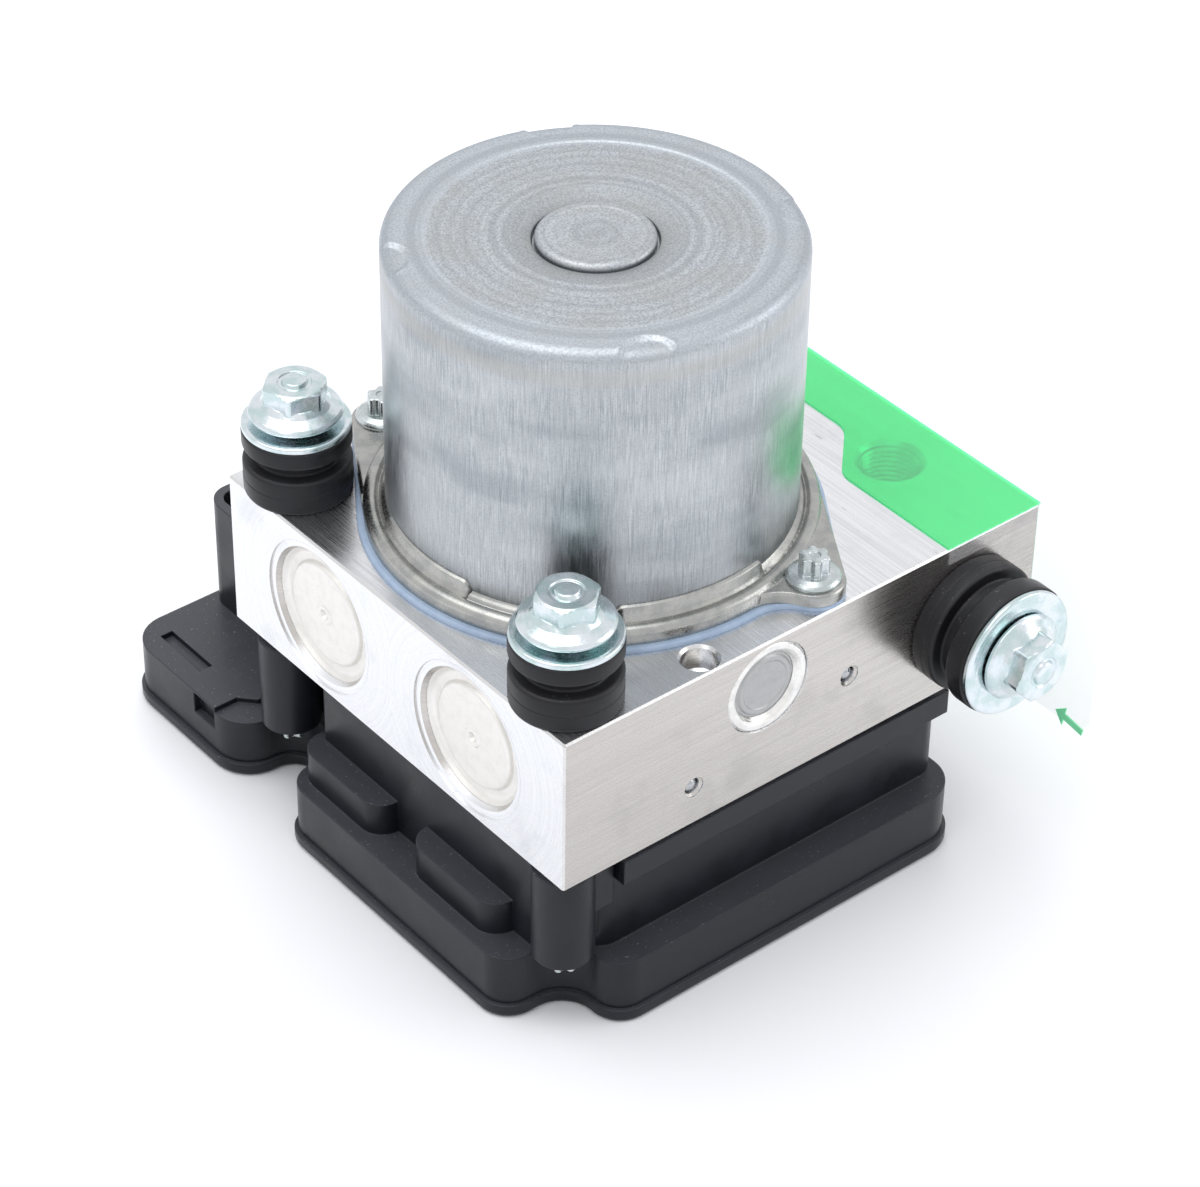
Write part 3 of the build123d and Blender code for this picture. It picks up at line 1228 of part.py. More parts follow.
def build():
    """Every node with its solids."""
    nodes = {
        "motor_housing": make_motor_housing(),
        "motor_magnets": make_motor_magnets(),
        "motor_seal": make_motor_seal(),
        "motor_screws": make_motor_screws(),
        "rear_bearing": make_rear_bearing(),
        "front_bearing": make_front_bearing(),
        "motor_shaft": make_motor_shaft(),
        "armature_core": make_armature_core(),
        "armature_windings": make_armature_windings(),
        "commutator": make_commutator(),
        "eccentric": make_eccentric(),
        "cam_ring": make_cam_ring(),
        "brush_holder": make_brush_holder(),
        "motor_terminals": make_motor_terminals(),
        "hydraulic_block": make_hydraulic_block(),
        "ball_plugs": make_ball_plugs(),
        "inlet_valves": make_valves(0),
        "outlet_valves": make_valves(1),
        "valve_coils": make_valve_coils(),
        "coil_yokes": make_coil_yokes(),
        "ecu_housing": make_ecu_housing(),
        "ecu_cover": make_ecu_cover(),
        "ecu_seal": make_ecu_seal(),
        "ecu_screws": make_ecu_screws(),
        "circuit_board": make_circuit_board(),
        "connector_pins": make_connector_pins(),
        "port_film": make_port_film(),
        "damper_bushes": [place * make_bush(large) for _, place, large in mount_places()],
        "damper_bolts": [place * make_flange_bolt(large) for _, place, large in mount_places()],
    }
    for number, angle in enumerate(BRUSH_ANGLES, 1):
        nodes[f"brush_{number}"] = make_brush(angle)
        nodes[f"brush_spring_{number}"] = make_brush_spring(angle)
    for number, side in enumerate((-1, 1), 1):
        nodes[f"pump_plug_{number}"] = make_pump_plug(side)
        nodes[f"pump_sleeve_{number}"] = make_pump_sleeve(side)
        nodes[f"pump_piston_{number}"] = make_pump_piston(side)
        nodes[f"pump_spring_{number}"] = make_pump_spring(side)
        nodes[f"accumulator_cap_{number}"] = make_accumulator_cap(side)
        nodes[f"accumulator_piston_{number}"] = make_accumulator_piston(side)
        nodes[f"accumulator_ring_{number}"] = make_accumulator_ring(side)
        nodes[f"accumulator_spring_{number}"] = make_accumulator_spring(side)
    for number, (x, y) in enumerate(VALVES, 1):
        nodes[f"valve_armature_{number}"] = make_valve_armature(x, y)
    for name, place, large in mount_places():
        nodes[f"damper_rubber_{name}"] = place * make_rubber(large)
    return nodes


def solids_of(shape):
    """The separate solids of a node."""
    if isinstance(shape, (list, tuple)):
        return [solid for item in shape for solid in item.solids()]
    return list(shape.solids())


for node, shape in build().items():
    export_step(Compound(children=solids_of(shape)), f"parts/{node}.step")
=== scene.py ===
import json
import logging
import math
from collections.abc import Callable, Iterable, Mapping, Sequence
from dataclasses import dataclass, field
from enum import Enum

import bmesh
import bpy
import numpy as np
from bpy.types import Material, Node, NodeSocket, NodeTree, Object
from mathutils import Matrix, Vector

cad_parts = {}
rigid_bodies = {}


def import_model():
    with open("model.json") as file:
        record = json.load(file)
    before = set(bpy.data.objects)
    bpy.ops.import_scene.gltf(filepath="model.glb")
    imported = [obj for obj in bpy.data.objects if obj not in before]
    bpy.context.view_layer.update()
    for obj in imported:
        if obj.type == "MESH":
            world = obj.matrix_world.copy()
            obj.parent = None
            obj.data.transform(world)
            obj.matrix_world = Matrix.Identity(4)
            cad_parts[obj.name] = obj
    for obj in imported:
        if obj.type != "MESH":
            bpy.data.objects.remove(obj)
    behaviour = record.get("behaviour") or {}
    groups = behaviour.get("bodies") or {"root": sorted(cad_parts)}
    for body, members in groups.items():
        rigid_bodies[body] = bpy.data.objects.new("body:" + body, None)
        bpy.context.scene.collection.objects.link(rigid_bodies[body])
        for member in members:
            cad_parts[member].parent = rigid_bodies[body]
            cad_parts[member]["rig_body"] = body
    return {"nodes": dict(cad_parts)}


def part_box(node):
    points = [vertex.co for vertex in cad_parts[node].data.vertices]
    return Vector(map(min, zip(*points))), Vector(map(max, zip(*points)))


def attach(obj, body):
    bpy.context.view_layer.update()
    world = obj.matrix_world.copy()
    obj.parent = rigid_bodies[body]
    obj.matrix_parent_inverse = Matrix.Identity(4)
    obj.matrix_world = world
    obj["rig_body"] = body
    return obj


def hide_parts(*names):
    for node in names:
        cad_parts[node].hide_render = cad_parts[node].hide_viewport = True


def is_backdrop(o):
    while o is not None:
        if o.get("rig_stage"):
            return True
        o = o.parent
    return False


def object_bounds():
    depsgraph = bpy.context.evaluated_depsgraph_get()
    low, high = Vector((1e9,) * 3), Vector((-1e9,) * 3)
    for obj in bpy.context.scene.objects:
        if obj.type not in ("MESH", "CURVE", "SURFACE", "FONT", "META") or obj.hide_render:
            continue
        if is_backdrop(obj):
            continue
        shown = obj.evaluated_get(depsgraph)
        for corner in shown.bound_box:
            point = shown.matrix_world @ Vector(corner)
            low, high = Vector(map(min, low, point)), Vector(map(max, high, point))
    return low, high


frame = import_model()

# Brake control module for a studio picture. Lengths are millimetres until a mesh is made.
MM = 0.001
MODULE = "module"
TURNED_STEPS = 160
SMOOTH = {"interpolation_type": "SMOOTHSTEP"}
COLOUR = {"data_type": "RGBA"}
log = logging.getLogger("brake_module")


class Face(Enum):
    """Way that a turned piece's own axis points."""

    UP = (0.0, 0.0, 1.0)
    DOWN = (0.0, 0.0, -1.0)
    FRONT = (0.0, -1.0, 0.0)
    BACK = (0.0, 1.0, 0.0)
    LEFT = (-1.0, 0.0, 0.0)
    RIGHT = (1.0, 0.0, 0.0)


class Shading(Enum):
    """Largest turn between two facets, in degrees, that still shades as one curve."""

    ROUND = 40.0
    CRISP = 25.0


def linear(hex_colour: str, alpha: float = 1.0) -> tuple[float, float, float, float]:
    """Turn an sRGB colour into the linear one that shaders take.

    Args:
        hex_colour: six hex digits, such as "A0B1C2".
        alpha: fourth value, passed on as it is.

    Returns:
        Linear red, green and blue, and the alpha.
    """
    parts = [int(hex_colour[k:k + 2], 16) / 255 for k in (0, 2, 4)]
    curve = [p / 12.92 if p <= 0.04045 else ((p + 0.055) / 1.055) ** 2.4 for p in parts]
    return (*curve, alpha)


def extent(node: str) -> tuple[np.ndarray, np.ndarray]:
    """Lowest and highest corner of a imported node, in millimetres."""
    low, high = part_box(node)
    return np.array(low) / MM, np.array(high) / MM


def connect(tree: NodeTree, node: Node, values: Mapping) -> None:
    """Set or link some of a node's inputs.

    Args:
        tree: the node's tree.
        node: node whose inputs are set.
        values: input name or number to a plain value, an output socket, or a node, which
            stands for its first output in use.
    """
    for name, value in values.items():
        if isinstance(value, Node):
            value = next(output for output in value.outputs if output.enabled)
        if isinstance(value, NodeSocket):
            tree.links.new(value, node.inputs[name])
        else:
            node.inputs[name].default_value = value


def add_node(tree: NodeTree, kind: str, *values: object, **settings: object) -> Node:
    """Add one shader node, set it up and link it.

    Args:
        tree: node tree to add to.
        kind: the node's type, without its "ShaderNode" start.
        values: values, nodes or sockets for the inputs that the settings leave in use, in order.
        settings: the node's own options.

    Returns:
        The new node.
    """
    node = tree.nodes.new("ShaderNode" + kind)
    for name, value in settings.items():
        setattr(node, name, value)
    in_use = [number for number, socket in enumerate(node.inputs) if socket.enabled]
    connect(tree, node, dict(zip(in_use, values)))
    return node


# Patterns of several nodes that many finishes share. Each takes real sizes in millimetres.
def cells(tree: NodeTree, cell: Sequence[float], centre: Sequence[float] = (0, 0, 0)) -> Node:
    """Object position counted in cells of a real size.

    Args:
        tree: node tree.
        cell: size of one cell along X, Y and Z; 0 leaves that axis out.
        centre: point that becomes the pattern's origin.

    Returns:
        Node that gives (position - centre) / cell.
    """
    place = add_node(tree, "TexCoord").outputs["Object"]
    scale = [1 / (c * MM) if c else 0.0 for c in cell]
    shift = [-c * MM * s for c, s in zip(centre, scale)]
    return add_node(tree, "Mapping", place, shift, (0, 0, 0), scale)


def grain(tree: NodeTree, *cell: float, detail: float = 3.0, rough: float = 0.55) -> Node:
    """Fractal pattern from 0 to 1 whose cells have a real size along X, Y and Z."""
    size = cell if len(cell) == 3 else cell * 3
    return add_node(tree, "TexNoise", cells(tree, size), 1.0, detail, rough)


def rings(tree: NodeTree, reach: object, pitch: float) -> Node:
    """Uneven rings of a mean pitch, from a distance in millimetres to an axis."""
    count = add_node(tree, "Math", reach, 1 / pitch, operation="MULTIPLY")
    return add_node(tree, "TexNoise", count, 1.0, 3.0, 0.55, noise_dimensions="1D")


def veil(tree: NodeTree, under: object, colour: str, pattern: object, *run: float) -> Node:
    """Colour laid over another by the strength of a pattern.

    Args:
        tree: node tree.
        under: the colour below.
        colour: sRGB hex colour that is laid over it.
        pattern: value that drives its share.
        run: two values of the pattern, and the shares there; between them it runs smoothly.

    Returns:
        Node that gives the mixed colour.
    """
    share = add_node(tree, "MapRange", pattern, *run, **SMOOTH)
    return add_node(tree, "Mix", share, under, linear(colour), **COLOUR)


def relief(tree: NodeTree, height: object, depth: float, before: object | None = None,
           strength: float = 1.0) -> Node:
    """Normal tilted by a height from 0 to 1 whose full range is a real depth.

    Args:
        tree: node tree.
        height: the height.
        depth: real depth of its range, in millimetres.
        before: normal that it is laid on.
        strength: share of the effect.

    Returns:
        Node that gives the tilted normal.
    """
    bump = add_node(tree, "Bump")
    values = {"Height": height, "Distance": depth * MM, "Strength": strength}
    connect(tree, bump, values | ({"Normal": before} if before else {}))
    return bump


@dataclass(frozen=True)
class Finish:
    """A surface: what the real one is made of and how it was made.

    Args:
        name: material name, the real material and process.
        slot: name of the record's material slot; not used.
        colour: sRGB hex colour.
        metallic: 1 for bare or plated metal.
        roughness: mean micro-roughness.
        edge: radius in millimetres that light finds on sharp edges.
    """

    name: str
    slot: str
    colour: str
    metallic: float = 0.0
    roughness: float = 0.5
    edge: float = 0.15

    def paint(self, tree: NodeTree, shader: Node, soft: Node) -> None:
        """Add the finish's own patterns; the plain finish has a faint mottle.

        Args:
            tree: the material's nodes.
            shader: its principled shader.
            soft: normal with softened edges, to lay any relief on.
        """
        mottle = grain(tree, 3.0)
        rough = add_node(tree, "MapRange", mottle, 0.3, 0.7,
                         self.roughness - 0.05, self.roughness + 0.05, **SMOOTH)
        connect(tree, shader, {"Roughness": rough, "Normal": relief(tree, mottle, 0.02, soft)})

    def material(self) -> Material:
        """The finish's material, made once."""
        made = bpy.data.materials.get(self.name)
        if made:
            return made
        made = bpy.data.materials.new(self.name)
        made.use_nodes = True
        made.diffuse_color = linear(self.colour)
        tree = made.node_tree
        shader = tree.nodes["Principled BSDF"]
        connect(tree, shader, {
            "Base Color": linear(self.colour), "Metallic": self.metallic, "Roughness": self.roughness,
        })
        self.paint(tree, shader, add_node(tree, "Bevel", self.edge * MM, samples=4))
        return made


@dataclass(frozen=True)
class DeepDrawnZinc(Finish):
    """Zinc-plated sheet steel, deep drawn: fine streaks up the wall, sandy rings on the top."""

    top_z: float = 120.5
    streak: float = 0.2
    streak_length: float = 5.0
    rim_r: float = 28.0
    boss_r: float = 10.3
    dark: str = "83898E"
    pale: str = "D3D7DA"
    warm: str = "B0ADA5"
    top: str = "CBD1D6"

    def paint(self, tree: NodeTree, shader: Node, soft: Node) -> None:
        """Streaks and dull patches on the wall; rings, sand, painted shade round the boss, a pale outer band
        and a painted highlight along the step on the top.
        """
        height = add_node(tree, "SeparateXYZ", cells(tree, (1, 1, 1))).outputs["Z"]
        reach = add_node(tree, "VectorMath", cells(tree, (1, 1, 0)), operation="LENGTH").outputs["Value"]
        on_top = add_node(tree, "MapRange", height, self.top_z - 0.6, self.top_z + 0.4, 0.0, 1.0, **SMOOTH)
        streaks = grain(tree, self.streak, self.streak, self.streak_length, detail=4.0, rough=0.6)
        broad = grain(tree, 2.4, 2.4, 20.0, rough=0.6)
        patches = grain(tree, 26.0, 26.0, 8.0, detail=2.0, rough=0.5)
        sand = grain(tree, 0.36, rough=0.7)
        ring = rings(tree, reach, 2.2)

        wall = veil(tree, linear(self.dark), self.pale, streaks, 0.3, 0.7, 0.0, 1.0)
        wall = veil(tree, wall, self.colour, broad, 0.35, 0.68, 0.7, 0.35)
        wall = veil(tree, wall, self.dark, sand, 0.45, 0.7, 0.0, 0.35)
        wall = veil(tree, wall, self.dark, patches, 0.48, 0.7, 0.0, 0.4)
        wall = veil(tree, wall, self.pale, patches, 0.3, 0.46, 0.2, 0.0)
        from_band = add_node(tree, "Math", height, self.top_z - 3.4, operation="SUBTRACT")
        from_band = add_node(tree, "Math", from_band, operation="ABSOLUTE")
        wall = veil(tree, wall, self.warm, from_band, 0.3, 2.2, 0.4, 0.0)

        top = veil(tree, linear(self.top), "A0A5AA", ring, 0.35, 0.68, 0.0, 0.55)
        top = veil(tree, top, "8A9095", sand, 0.42, 0.62, 0.0, 0.6)
        # Painted shade in the funnel: darker towards the boss over its last 6 mm, and not on the boss itself.
        share = add_node(tree, "MapRange", reach, self.boss_r, self.boss_r + 6, 0.45, 0.0, **SMOOTH)
        beyond = add_node(tree, "MapRange", reach, self.boss_r - 0.3, self.boss_r, 0.0, 1.0)
        share = add_node(tree, "Math", share, beyond, operation="MULTIPLY")
        top = add_node(tree, "Mix", share, top, linear("80807E"), **COLOUR)
        top = veil(tree, top, self.warm, grain(tree, 8.0), 0.4, 0.7, 0.05, 0.3)
        top = veil(tree, top, "BAC2CB", reach, self.rim_r - 1.5, self.rim_r + 0.8, 0.0, 0.3)
        # Painted highlight: a pale ring along the step at rim_r, fading within a millimetre.
        from_step_highlight = add_node(tree, "Math", reach, self.rim_r, operation="SUBTRACT")
        from_step_highlight = add_node(tree, "Math", from_step_highlight, operation="ABSOLUTE")
        top = veil(tree, top, "D2D9DF", from_step_highlight, 0.1, 0.9, 0.25, 0.0)

        wall_rough = add_node(tree, "MapRange", streaks, 0.25, 0.75,
                              self.roughness - 0.05, self.roughness + 0.1, **SMOOTH)
        top_rough = add_node(tree, "MapRange", sand, 0.25, 0.75, 0.42, 0.55, **SMOOTH)
        fine = relief(tree, add_node(tree, "Mix", on_top, streaks, sand), 0.012, soft)
        connect(tree, shader, {
            "Base Color": add_node(tree, "Mix", on_top, wall, top, **COLOUR),
            "Roughness": add_node(tree, "Mix", on_top, wall_rough, top_rough),
            "Normal": relief(tree, patches, 0.3, fine, 0.2),
        })


@dataclass(frozen=True)
class ZincPlate(Finish):
    """Zinc plate: bluish, greenish or brownish clouds and small handling marks."""

    tint: str = "C4D6D6"
    mark: float = 0.45
    marks: float = 0.4

    def paint(self, tree: NodeTree, shader: Node, soft: Node) -> None:
        """Tinted clouds, specks and an uneven gloss."""
        clouds = grain(tree, 3.5)
        specks = grain(tree, self.mark, detail=4.0, rough=0.7)
        tone = veil(tree, linear(self.colour), self.tint, clouds, 0.38, 0.62, 0.0, 1.0)
        tone = veil(tree, tone, "6F7678", specks, 0.58, 0.74, 0.0, self.marks)
        rough = add_node(tree, "MapRange", specks, 0.3, 0.75,
                         self.roughness - 0.06, self.roughness + 0.14, **SMOOTH)
        fine = relief(tree, specks, 0.008, soft)
        connect(tree, shader, {
            "Base Color": tone, "Roughness": rough, "Normal": relief(tree, clouds, 0.1, fine, 0.08),
        })


@dataclass(frozen=True)
class MilledAluminium(Finish):
    """Face-milled aluminium: bright, with straight cutter lines and arcs round the closures."""

    line: float = 0.22
    length: float = 26.0
    arc_pitch: float = 0.8
    arc_y: float = 20.6
    arc_z: float = 51.1

    def paint(self, tree: NodeTree, shader: Node, soft: Node) -> None:
        """Lines along Y on the top, along X on the front and back, arcs on the sides.

        The arcs run round the two accumulator bores: their distance is that of the point
        (|y| - bore's y, z - bore's z) from zero. Thin dark scratches cross the top. The front
        and back faces, neither top nor side, are multiplied by a warm grey: painted shade.
        """
        facing = add_node(tree, "SeparateXYZ", add_node(tree, "TexCoord").outputs["Normal"])
        upward = add_node(tree, "Math", facing.outputs["Z"], operation="ABSOLUTE")
        sideways = add_node(tree, "Math", facing.outputs["X"], operation="ABSOLUTE")
        on_top = add_node(tree, "MapRange", upward, 0.6, 0.8, 0.0, 1.0, **SMOOTH)
        on_side = add_node(tree, "MapRange", sideways, 0.6, 0.8, 0.0, 1.0, **SMOOTH)
        along_y = grain(tree, self.line, self.length, 4.0, rough=0.6)
        along_x = grain(tree, self.length, 4.0, self.line, rough=0.6)
        place = add_node(tree, "SeparateXYZ", cells(tree, (1, 1, 1), (0, 0, self.arc_z)))
        across = add_node(tree, "Math", place.outputs["Y"], operation="ABSOLUTE")
        across = add_node(tree, "Math", across, self.arc_y, operation="SUBTRACT")
        reach = add_node(tree, "CombineXYZ", across, place.outputs["Z"], 0.0)
        reach = add_node(tree, "VectorMath", reach, operation="LENGTH").outputs["Value"]
        arcs = add_node(tree, "MapRange", rings(tree, reach, self.arc_pitch), 0.0, 1.0, 0.34, 0.58)
        along_x = add_node(tree, "MapRange", along_x, 0.0, 1.0, 0.22, 0.72)
        lines = add_node(tree, "Mix", on_top, along_x, along_y)
        lines = add_node(tree, "Mix", on_side, lines, arcs)
        clouds = grain(tree, 11.0, detail=4.0, rough=0.6)
        tone = veil(tree, linear(self.colour), "B9BABD", lines, 0.35, 0.68, 0.0, 0.4)
        tone = veil(tree, tone, "C3C5C9", clouds, 0.5, 0.72, 0.0, 0.3)
        # Painted shade: faces that are neither top nor side, the front and back, are multiplied by a warm
        # grey.
        other = add_node(tree, "Math", on_top, on_side, operation="MAXIMUM")
        warm = add_node(tree, "Math", 1.0, other, operation="SUBTRACT")
        tone = add_node(tree, "Mix", warm, tone, linear("DAD5CE"), blend_type="MULTIPLY", **COLOUR)
        scratch = grain(tree, 0.35, 6.0, 0.35, detail=1.0)
        share = add_node(tree, "MapRange", scratch, 0.74, 0.78, 0.0, 0.7, **SMOOTH)
        share = add_node(tree, "Math", share, on_top, operation="MULTIPLY")
        tone = add_node(tree, "Mix", share, tone, linear("4C4D50"), **COLOUR)
        rough = add_node(tree, "MapRange", lines, 0.25, 0.75,
                         self.roughness - 0.06, self.roughness + 0.1, **SMOOTH)
        fine = relief(tree, lines, 0.015, soft, 0.6)
        connect(tree, shader, {
            "Base Color": tone, "Roughness": rough, "Normal": relief(tree, clouds, 0.15, fine, 0.12),
        })


@dataclass(frozen=True)
class TurnedMetal(Finish):
    """Metal turned on a lathe: fine rings about the piece's own axis, dull clouds."""

    centre: tuple[float, float, float] = (0.0, 0.0, 0.0)
    plane: tuple[float, float, float] = (1.0, 1.0, 0.0)
    pitch: float = 0.35
    cloud: str = "B4B3AF"

    def paint(self, tree: NodeTree, shader: Node, soft: Node) -> None:
        """Rings by the distance from the axis, and a soft uneven gloss."""
        reach = add_node(tree, "VectorMath", cells(tree, self.plane, self.centre), operation="LENGTH")
        turned = rings(tree, reach.outputs["Value"], self.pitch)
        tone = veil(tree, linear(self.colour), self.cloud, grain(tree, 2.2, rough=0.7), 0.4, 0.7, 0.0, 0.3)
        rough = add_node(tree, "MapRange", turned, 0.3, 0.7,
                         self.roughness - 0.05, self.roughness + 0.1, **SMOOTH)
        fine = relief(tree, turned, 0.01, soft, 0.6)
        connect(tree, shader, {
            "Base Color": tone, "Roughness": rough,
            "Normal": relief(tree, grain(tree, 0.4), 0.012, fine, 0.5),
        })


@dataclass(frozen=True)
class Moulded(Finish):
    """Black rubber or glass-filled plastic from a steel mould: fine skin, clouds, dust, and a painted sheen
    on what faces up.

    Args:
        skin: mean size of the mould's grain.
        cloud: colour of the faint clouds.
        dust_and_sheen: colour of the dust specks and of the painted sheen on what faces up.
        dusty: share of the dust.
        painted_sheen: share of the even painted sheen under the specks, a lighter tone on what faces up.
    """

    skin: float = 0.2
    cloud: str = "15181F"
    dust_and_sheen: str = "8A8C94"
    dusty: float = 0.6
    painted_sheen: float = 0.2

    def paint(self, tree: NodeTree, shader: Node, soft: Node) -> None:
        """Grain, faint clouds, and dust specks and a painted sheen on what faces up."""
        skin = grain(tree, self.skin, detail=2.0, rough=0.5)
        clouds = grain(tree, 9.0, rough=0.6)
        tone = veil(tree, linear(self.colour), self.cloud, clouds, 0.35, 0.7, 0.0, 0.8)
        facing = add_node(tree, "SeparateXYZ", add_node(tree, "TexCoord").outputs["Normal"])
        upward = add_node(tree, "MapRange", facing.outputs["Z"], 0.2, 0.95, 0.08, 1.0, **SMOOTH)
        specks = grain(tree, 0.42, detail=1.0)
        specks = add_node(tree, "MapRange", specks, 0.7, 0.78, 0.0, self.dusty, **SMOOTH)
        # Dust specks plus the even painted sheen, a lighter tone that stands in for light from above; both go
        # on what faces up.
        painted_sheen = add_node(tree, "Math", specks, self.painted_sheen, operation="ADD")
        share = add_node(tree, "Math", upward, painted_sheen, operation="MULTIPLY")
        tone = add_node(tree, "Mix", share, tone, linear(self.dust_and_sheen), **COLOUR)
        rough = add_node(tree, "MapRange", clouds, 0.3, 0.7,
                         self.roughness - 0.06, self.roughness + 0.08, **SMOOTH)
        connect(tree, shader, {
            "Base Color": tone, "Roughness": rough, "Specular IOR Level": 0.32,
            "Normal": relief(tree, skin, 0.03, soft, 0.5),
        })


@dataclass(frozen=True)
class CoatedGasket(Finish):
    """Rubber-coated sheet gasket: soft, even, faintly mottled."""

    def paint(self, tree: NodeTree, shader: Node, soft: Node) -> None:
        """Pale clouds and a soft skin."""
        clouds = grain(tree, 2.5, rough=0.6)
        tone = veil(tree, linear(self.colour), "92A6BF", clouds, 0.35, 0.7, 0.0, 0.6)
        connect(tree, shader, {"Base Color": tone, "Normal": relief(tree, clouds, 0.05, soft, 0.4)})


@dataclass(frozen=True)
class TintedFilm(Finish):
    """Polyester film, printed or clear: thin, glossy, seen through."""

    see_through: float = 0.5
    passing: str = "A0FFD6"

    def paint(self, tree: NodeTree, shader: Node, soft: Node) -> None:
        """Part of the light passes and takes a colour; the skin has slow ripples."""
        ripple = relief(tree, grain(tree, 9.0, detail=2.0), 0.15, soft, 0.35)
        connect(tree, shader, {"Normal": ripple})
        clear = add_node(tree, "BsdfTransparent", linear(self.passing))
        mixed = add_node(tree, "MixShader", self.see_through, shader, clear)
        tree.links.new(mixed.outputs[0], tree.nodes["Material Output"].inputs["Surface"])


@dataclass(frozen=True)
class StackedLayers(Finish):
    """Stamped sheets or wound wire: fine parallel lines at a real pitch."""

    pitch: float = 0.5
    other: str = "6A6B6D"

    def paint(self, tree: NodeTree, shader: Node, soft: Node) -> None:
        """Lines across Z at the pitch, as colour and as relief."""
        height = add_node(tree, "SeparateXYZ", cells(tree, (1, 1, self.pitch))).outputs["Z"]
        wave = add_node(tree, "Math", height, 0.5, operation="PINGPONG")
        level = add_node(tree, "Math", wave, 2.0, operation="MULTIPLY")
        tone = add_node(tree, "Mix", level, linear(self.other), linear(self.colour), **COLOUR)
        connect(tree, shader, {"Base Color": tone, "Normal": relief(tree, level, 0.1, soft, 0.8)})


# Finishes. Each comment says what the surface gives the eye.
# Drawn can: dull grey with upright streaks and a sandy top, with painted shade round the boss and a painted
# highlight along the step.
CAN = DeepDrawnZinc("deep_drawn_zinc_plated_steel", "zinc_steel", "B3B7BA", 1.0, 0.33)
# Flange: darker and browner, rubbed shiny.
FLANGE = ZincPlate("pressed_zinc_plated_steel", "zinc_steel", "B2B2AE", 1.0, 0.28, tint="A2A3A1", marks=0.22)
# Bolts and their collars: bright bluish white.
BOLT = ZincPlate("bright_zinc_plated_bolt_steel", "bright_zinc", "DDE4E8", 1.0, 0.17, marks=0.25)
# Star-head screws: greyer and softer.
SCREW = ZincPlate("dull_zinc_plated_screw_steel", "bright_zinc", "D2D8DA", 1.0, 0.27, tint="BAC2C1")
# Block: bright metal with cutter lines, and painted shade on its front and back faces.
ALUMINIUM = MilledAluminium("face_milled_aluminium", "milled_aluminium", "EFF0F2", 1.0, 0.27)
# Staked rings and the pistons inside the block: bright.
CAP = TurnedMetal("turned_aluminium", "milled_aluminium", "EDECE9", 1.0, 0.26)
# Bearing pieces: smooth and neutral.
STEEL = Finish("ground_bearing_steel", "bearing_steel", "B4B6B8", 1.0, 0.18)
# Springs: darker grey shine.
WIRE = Finish("drawn_spring_wire", "spring_steel", "8C9096", 1.0, 0.3)
# Rubber mounts: near black with a soft sheen, specks of talc and a faint painted sheen on what faces up.
RUBBER = Moulded("moulded_black_rubber", "rubber", "0E0E11", 0.0, 0.4, 0.25, 0.3, "191A1F",
                 "8A8B92", painted_sheen=0.06)
# Housing and cover: satin black with a little dust and a painted sheen on what faces up.
PLASTIC = Moulded("moulded_glass_filled_polyamide", "black_plastic", "0C0E14", 0.0, 0.33, 0.45)
# Gasket: pale periwinkle.
GASKET = CoatedGasket("rubber_coated_gasket", "blue_seal", "A2B5CC", 0.0, 0.45)
# Film over the ports: vivid green, the metal just seen through it.
GREEN_FILM = TintedFilm("green_printed_polyester_film", "green_film", "A6F7C4", 0.0, 0.3,
                        see_through=0.72, passing="AEFFDC")
# Arrow on the tab: flat green ink.
GREEN_INK = Finish("green_printing_ink", "green_film", "86F0B4", 0.0, 0.5)
# Pull tab: almost unseen.
CLEAR_FILM = TintedFilm("clear_polyester_film", "green_film", "ECECEE", 0.0, 0.15,
                        see_through=0.88, passing="FFFFFF")
# Armature windings and coils: brown-red lacquered wire.
COPPER = StackedLayers("enamelled_copper_winding", "copper_wire", "B8642F", 1.0, 0.35,
                       pitch=0.6, other="5A2C14")
# Armature core and coil yokes: stacked grey sheet.
SHEET = StackedLayers("stamped_core_sheet", "sheet_steel", "8E8F92", 1.0, 0.4)
# Commutator: bright copper with turning lines.
CONTACT = StackedLayers("turned_commutator_copper", "commutator_copper", "C4804F", 1.0, 0.3,
                        pitch=0.3, other="9C6038")
# Magnets: dull dark grey.
FERRITE = Finish("sintered_ferrite", "ferrite", "2A2A2D", 0.0, 0.7)
# Brushes: dull black.
CARBON = Finish("pressed_brush_carbon", "carbon", "1A1A1B", 0.0, 0.6)
# Pins and blades: soft silver.
TIN = Finish("tin_plated_copper", "tin_plate", "C8C6BE", 1.0, 0.28)
# Brush holder: brown resin.
PHENOLIC = Moulded("moulded_phenolic", "tan_plastic", "8A6C48", 0.0, 0.5, cloud="77593A", dust_and_sheen="9A805C")
# Circuit board: deep green gloss.
BOARD = Finish("solder_masked_board", "green_board", "0F4A2A", 0.0, 0.3)


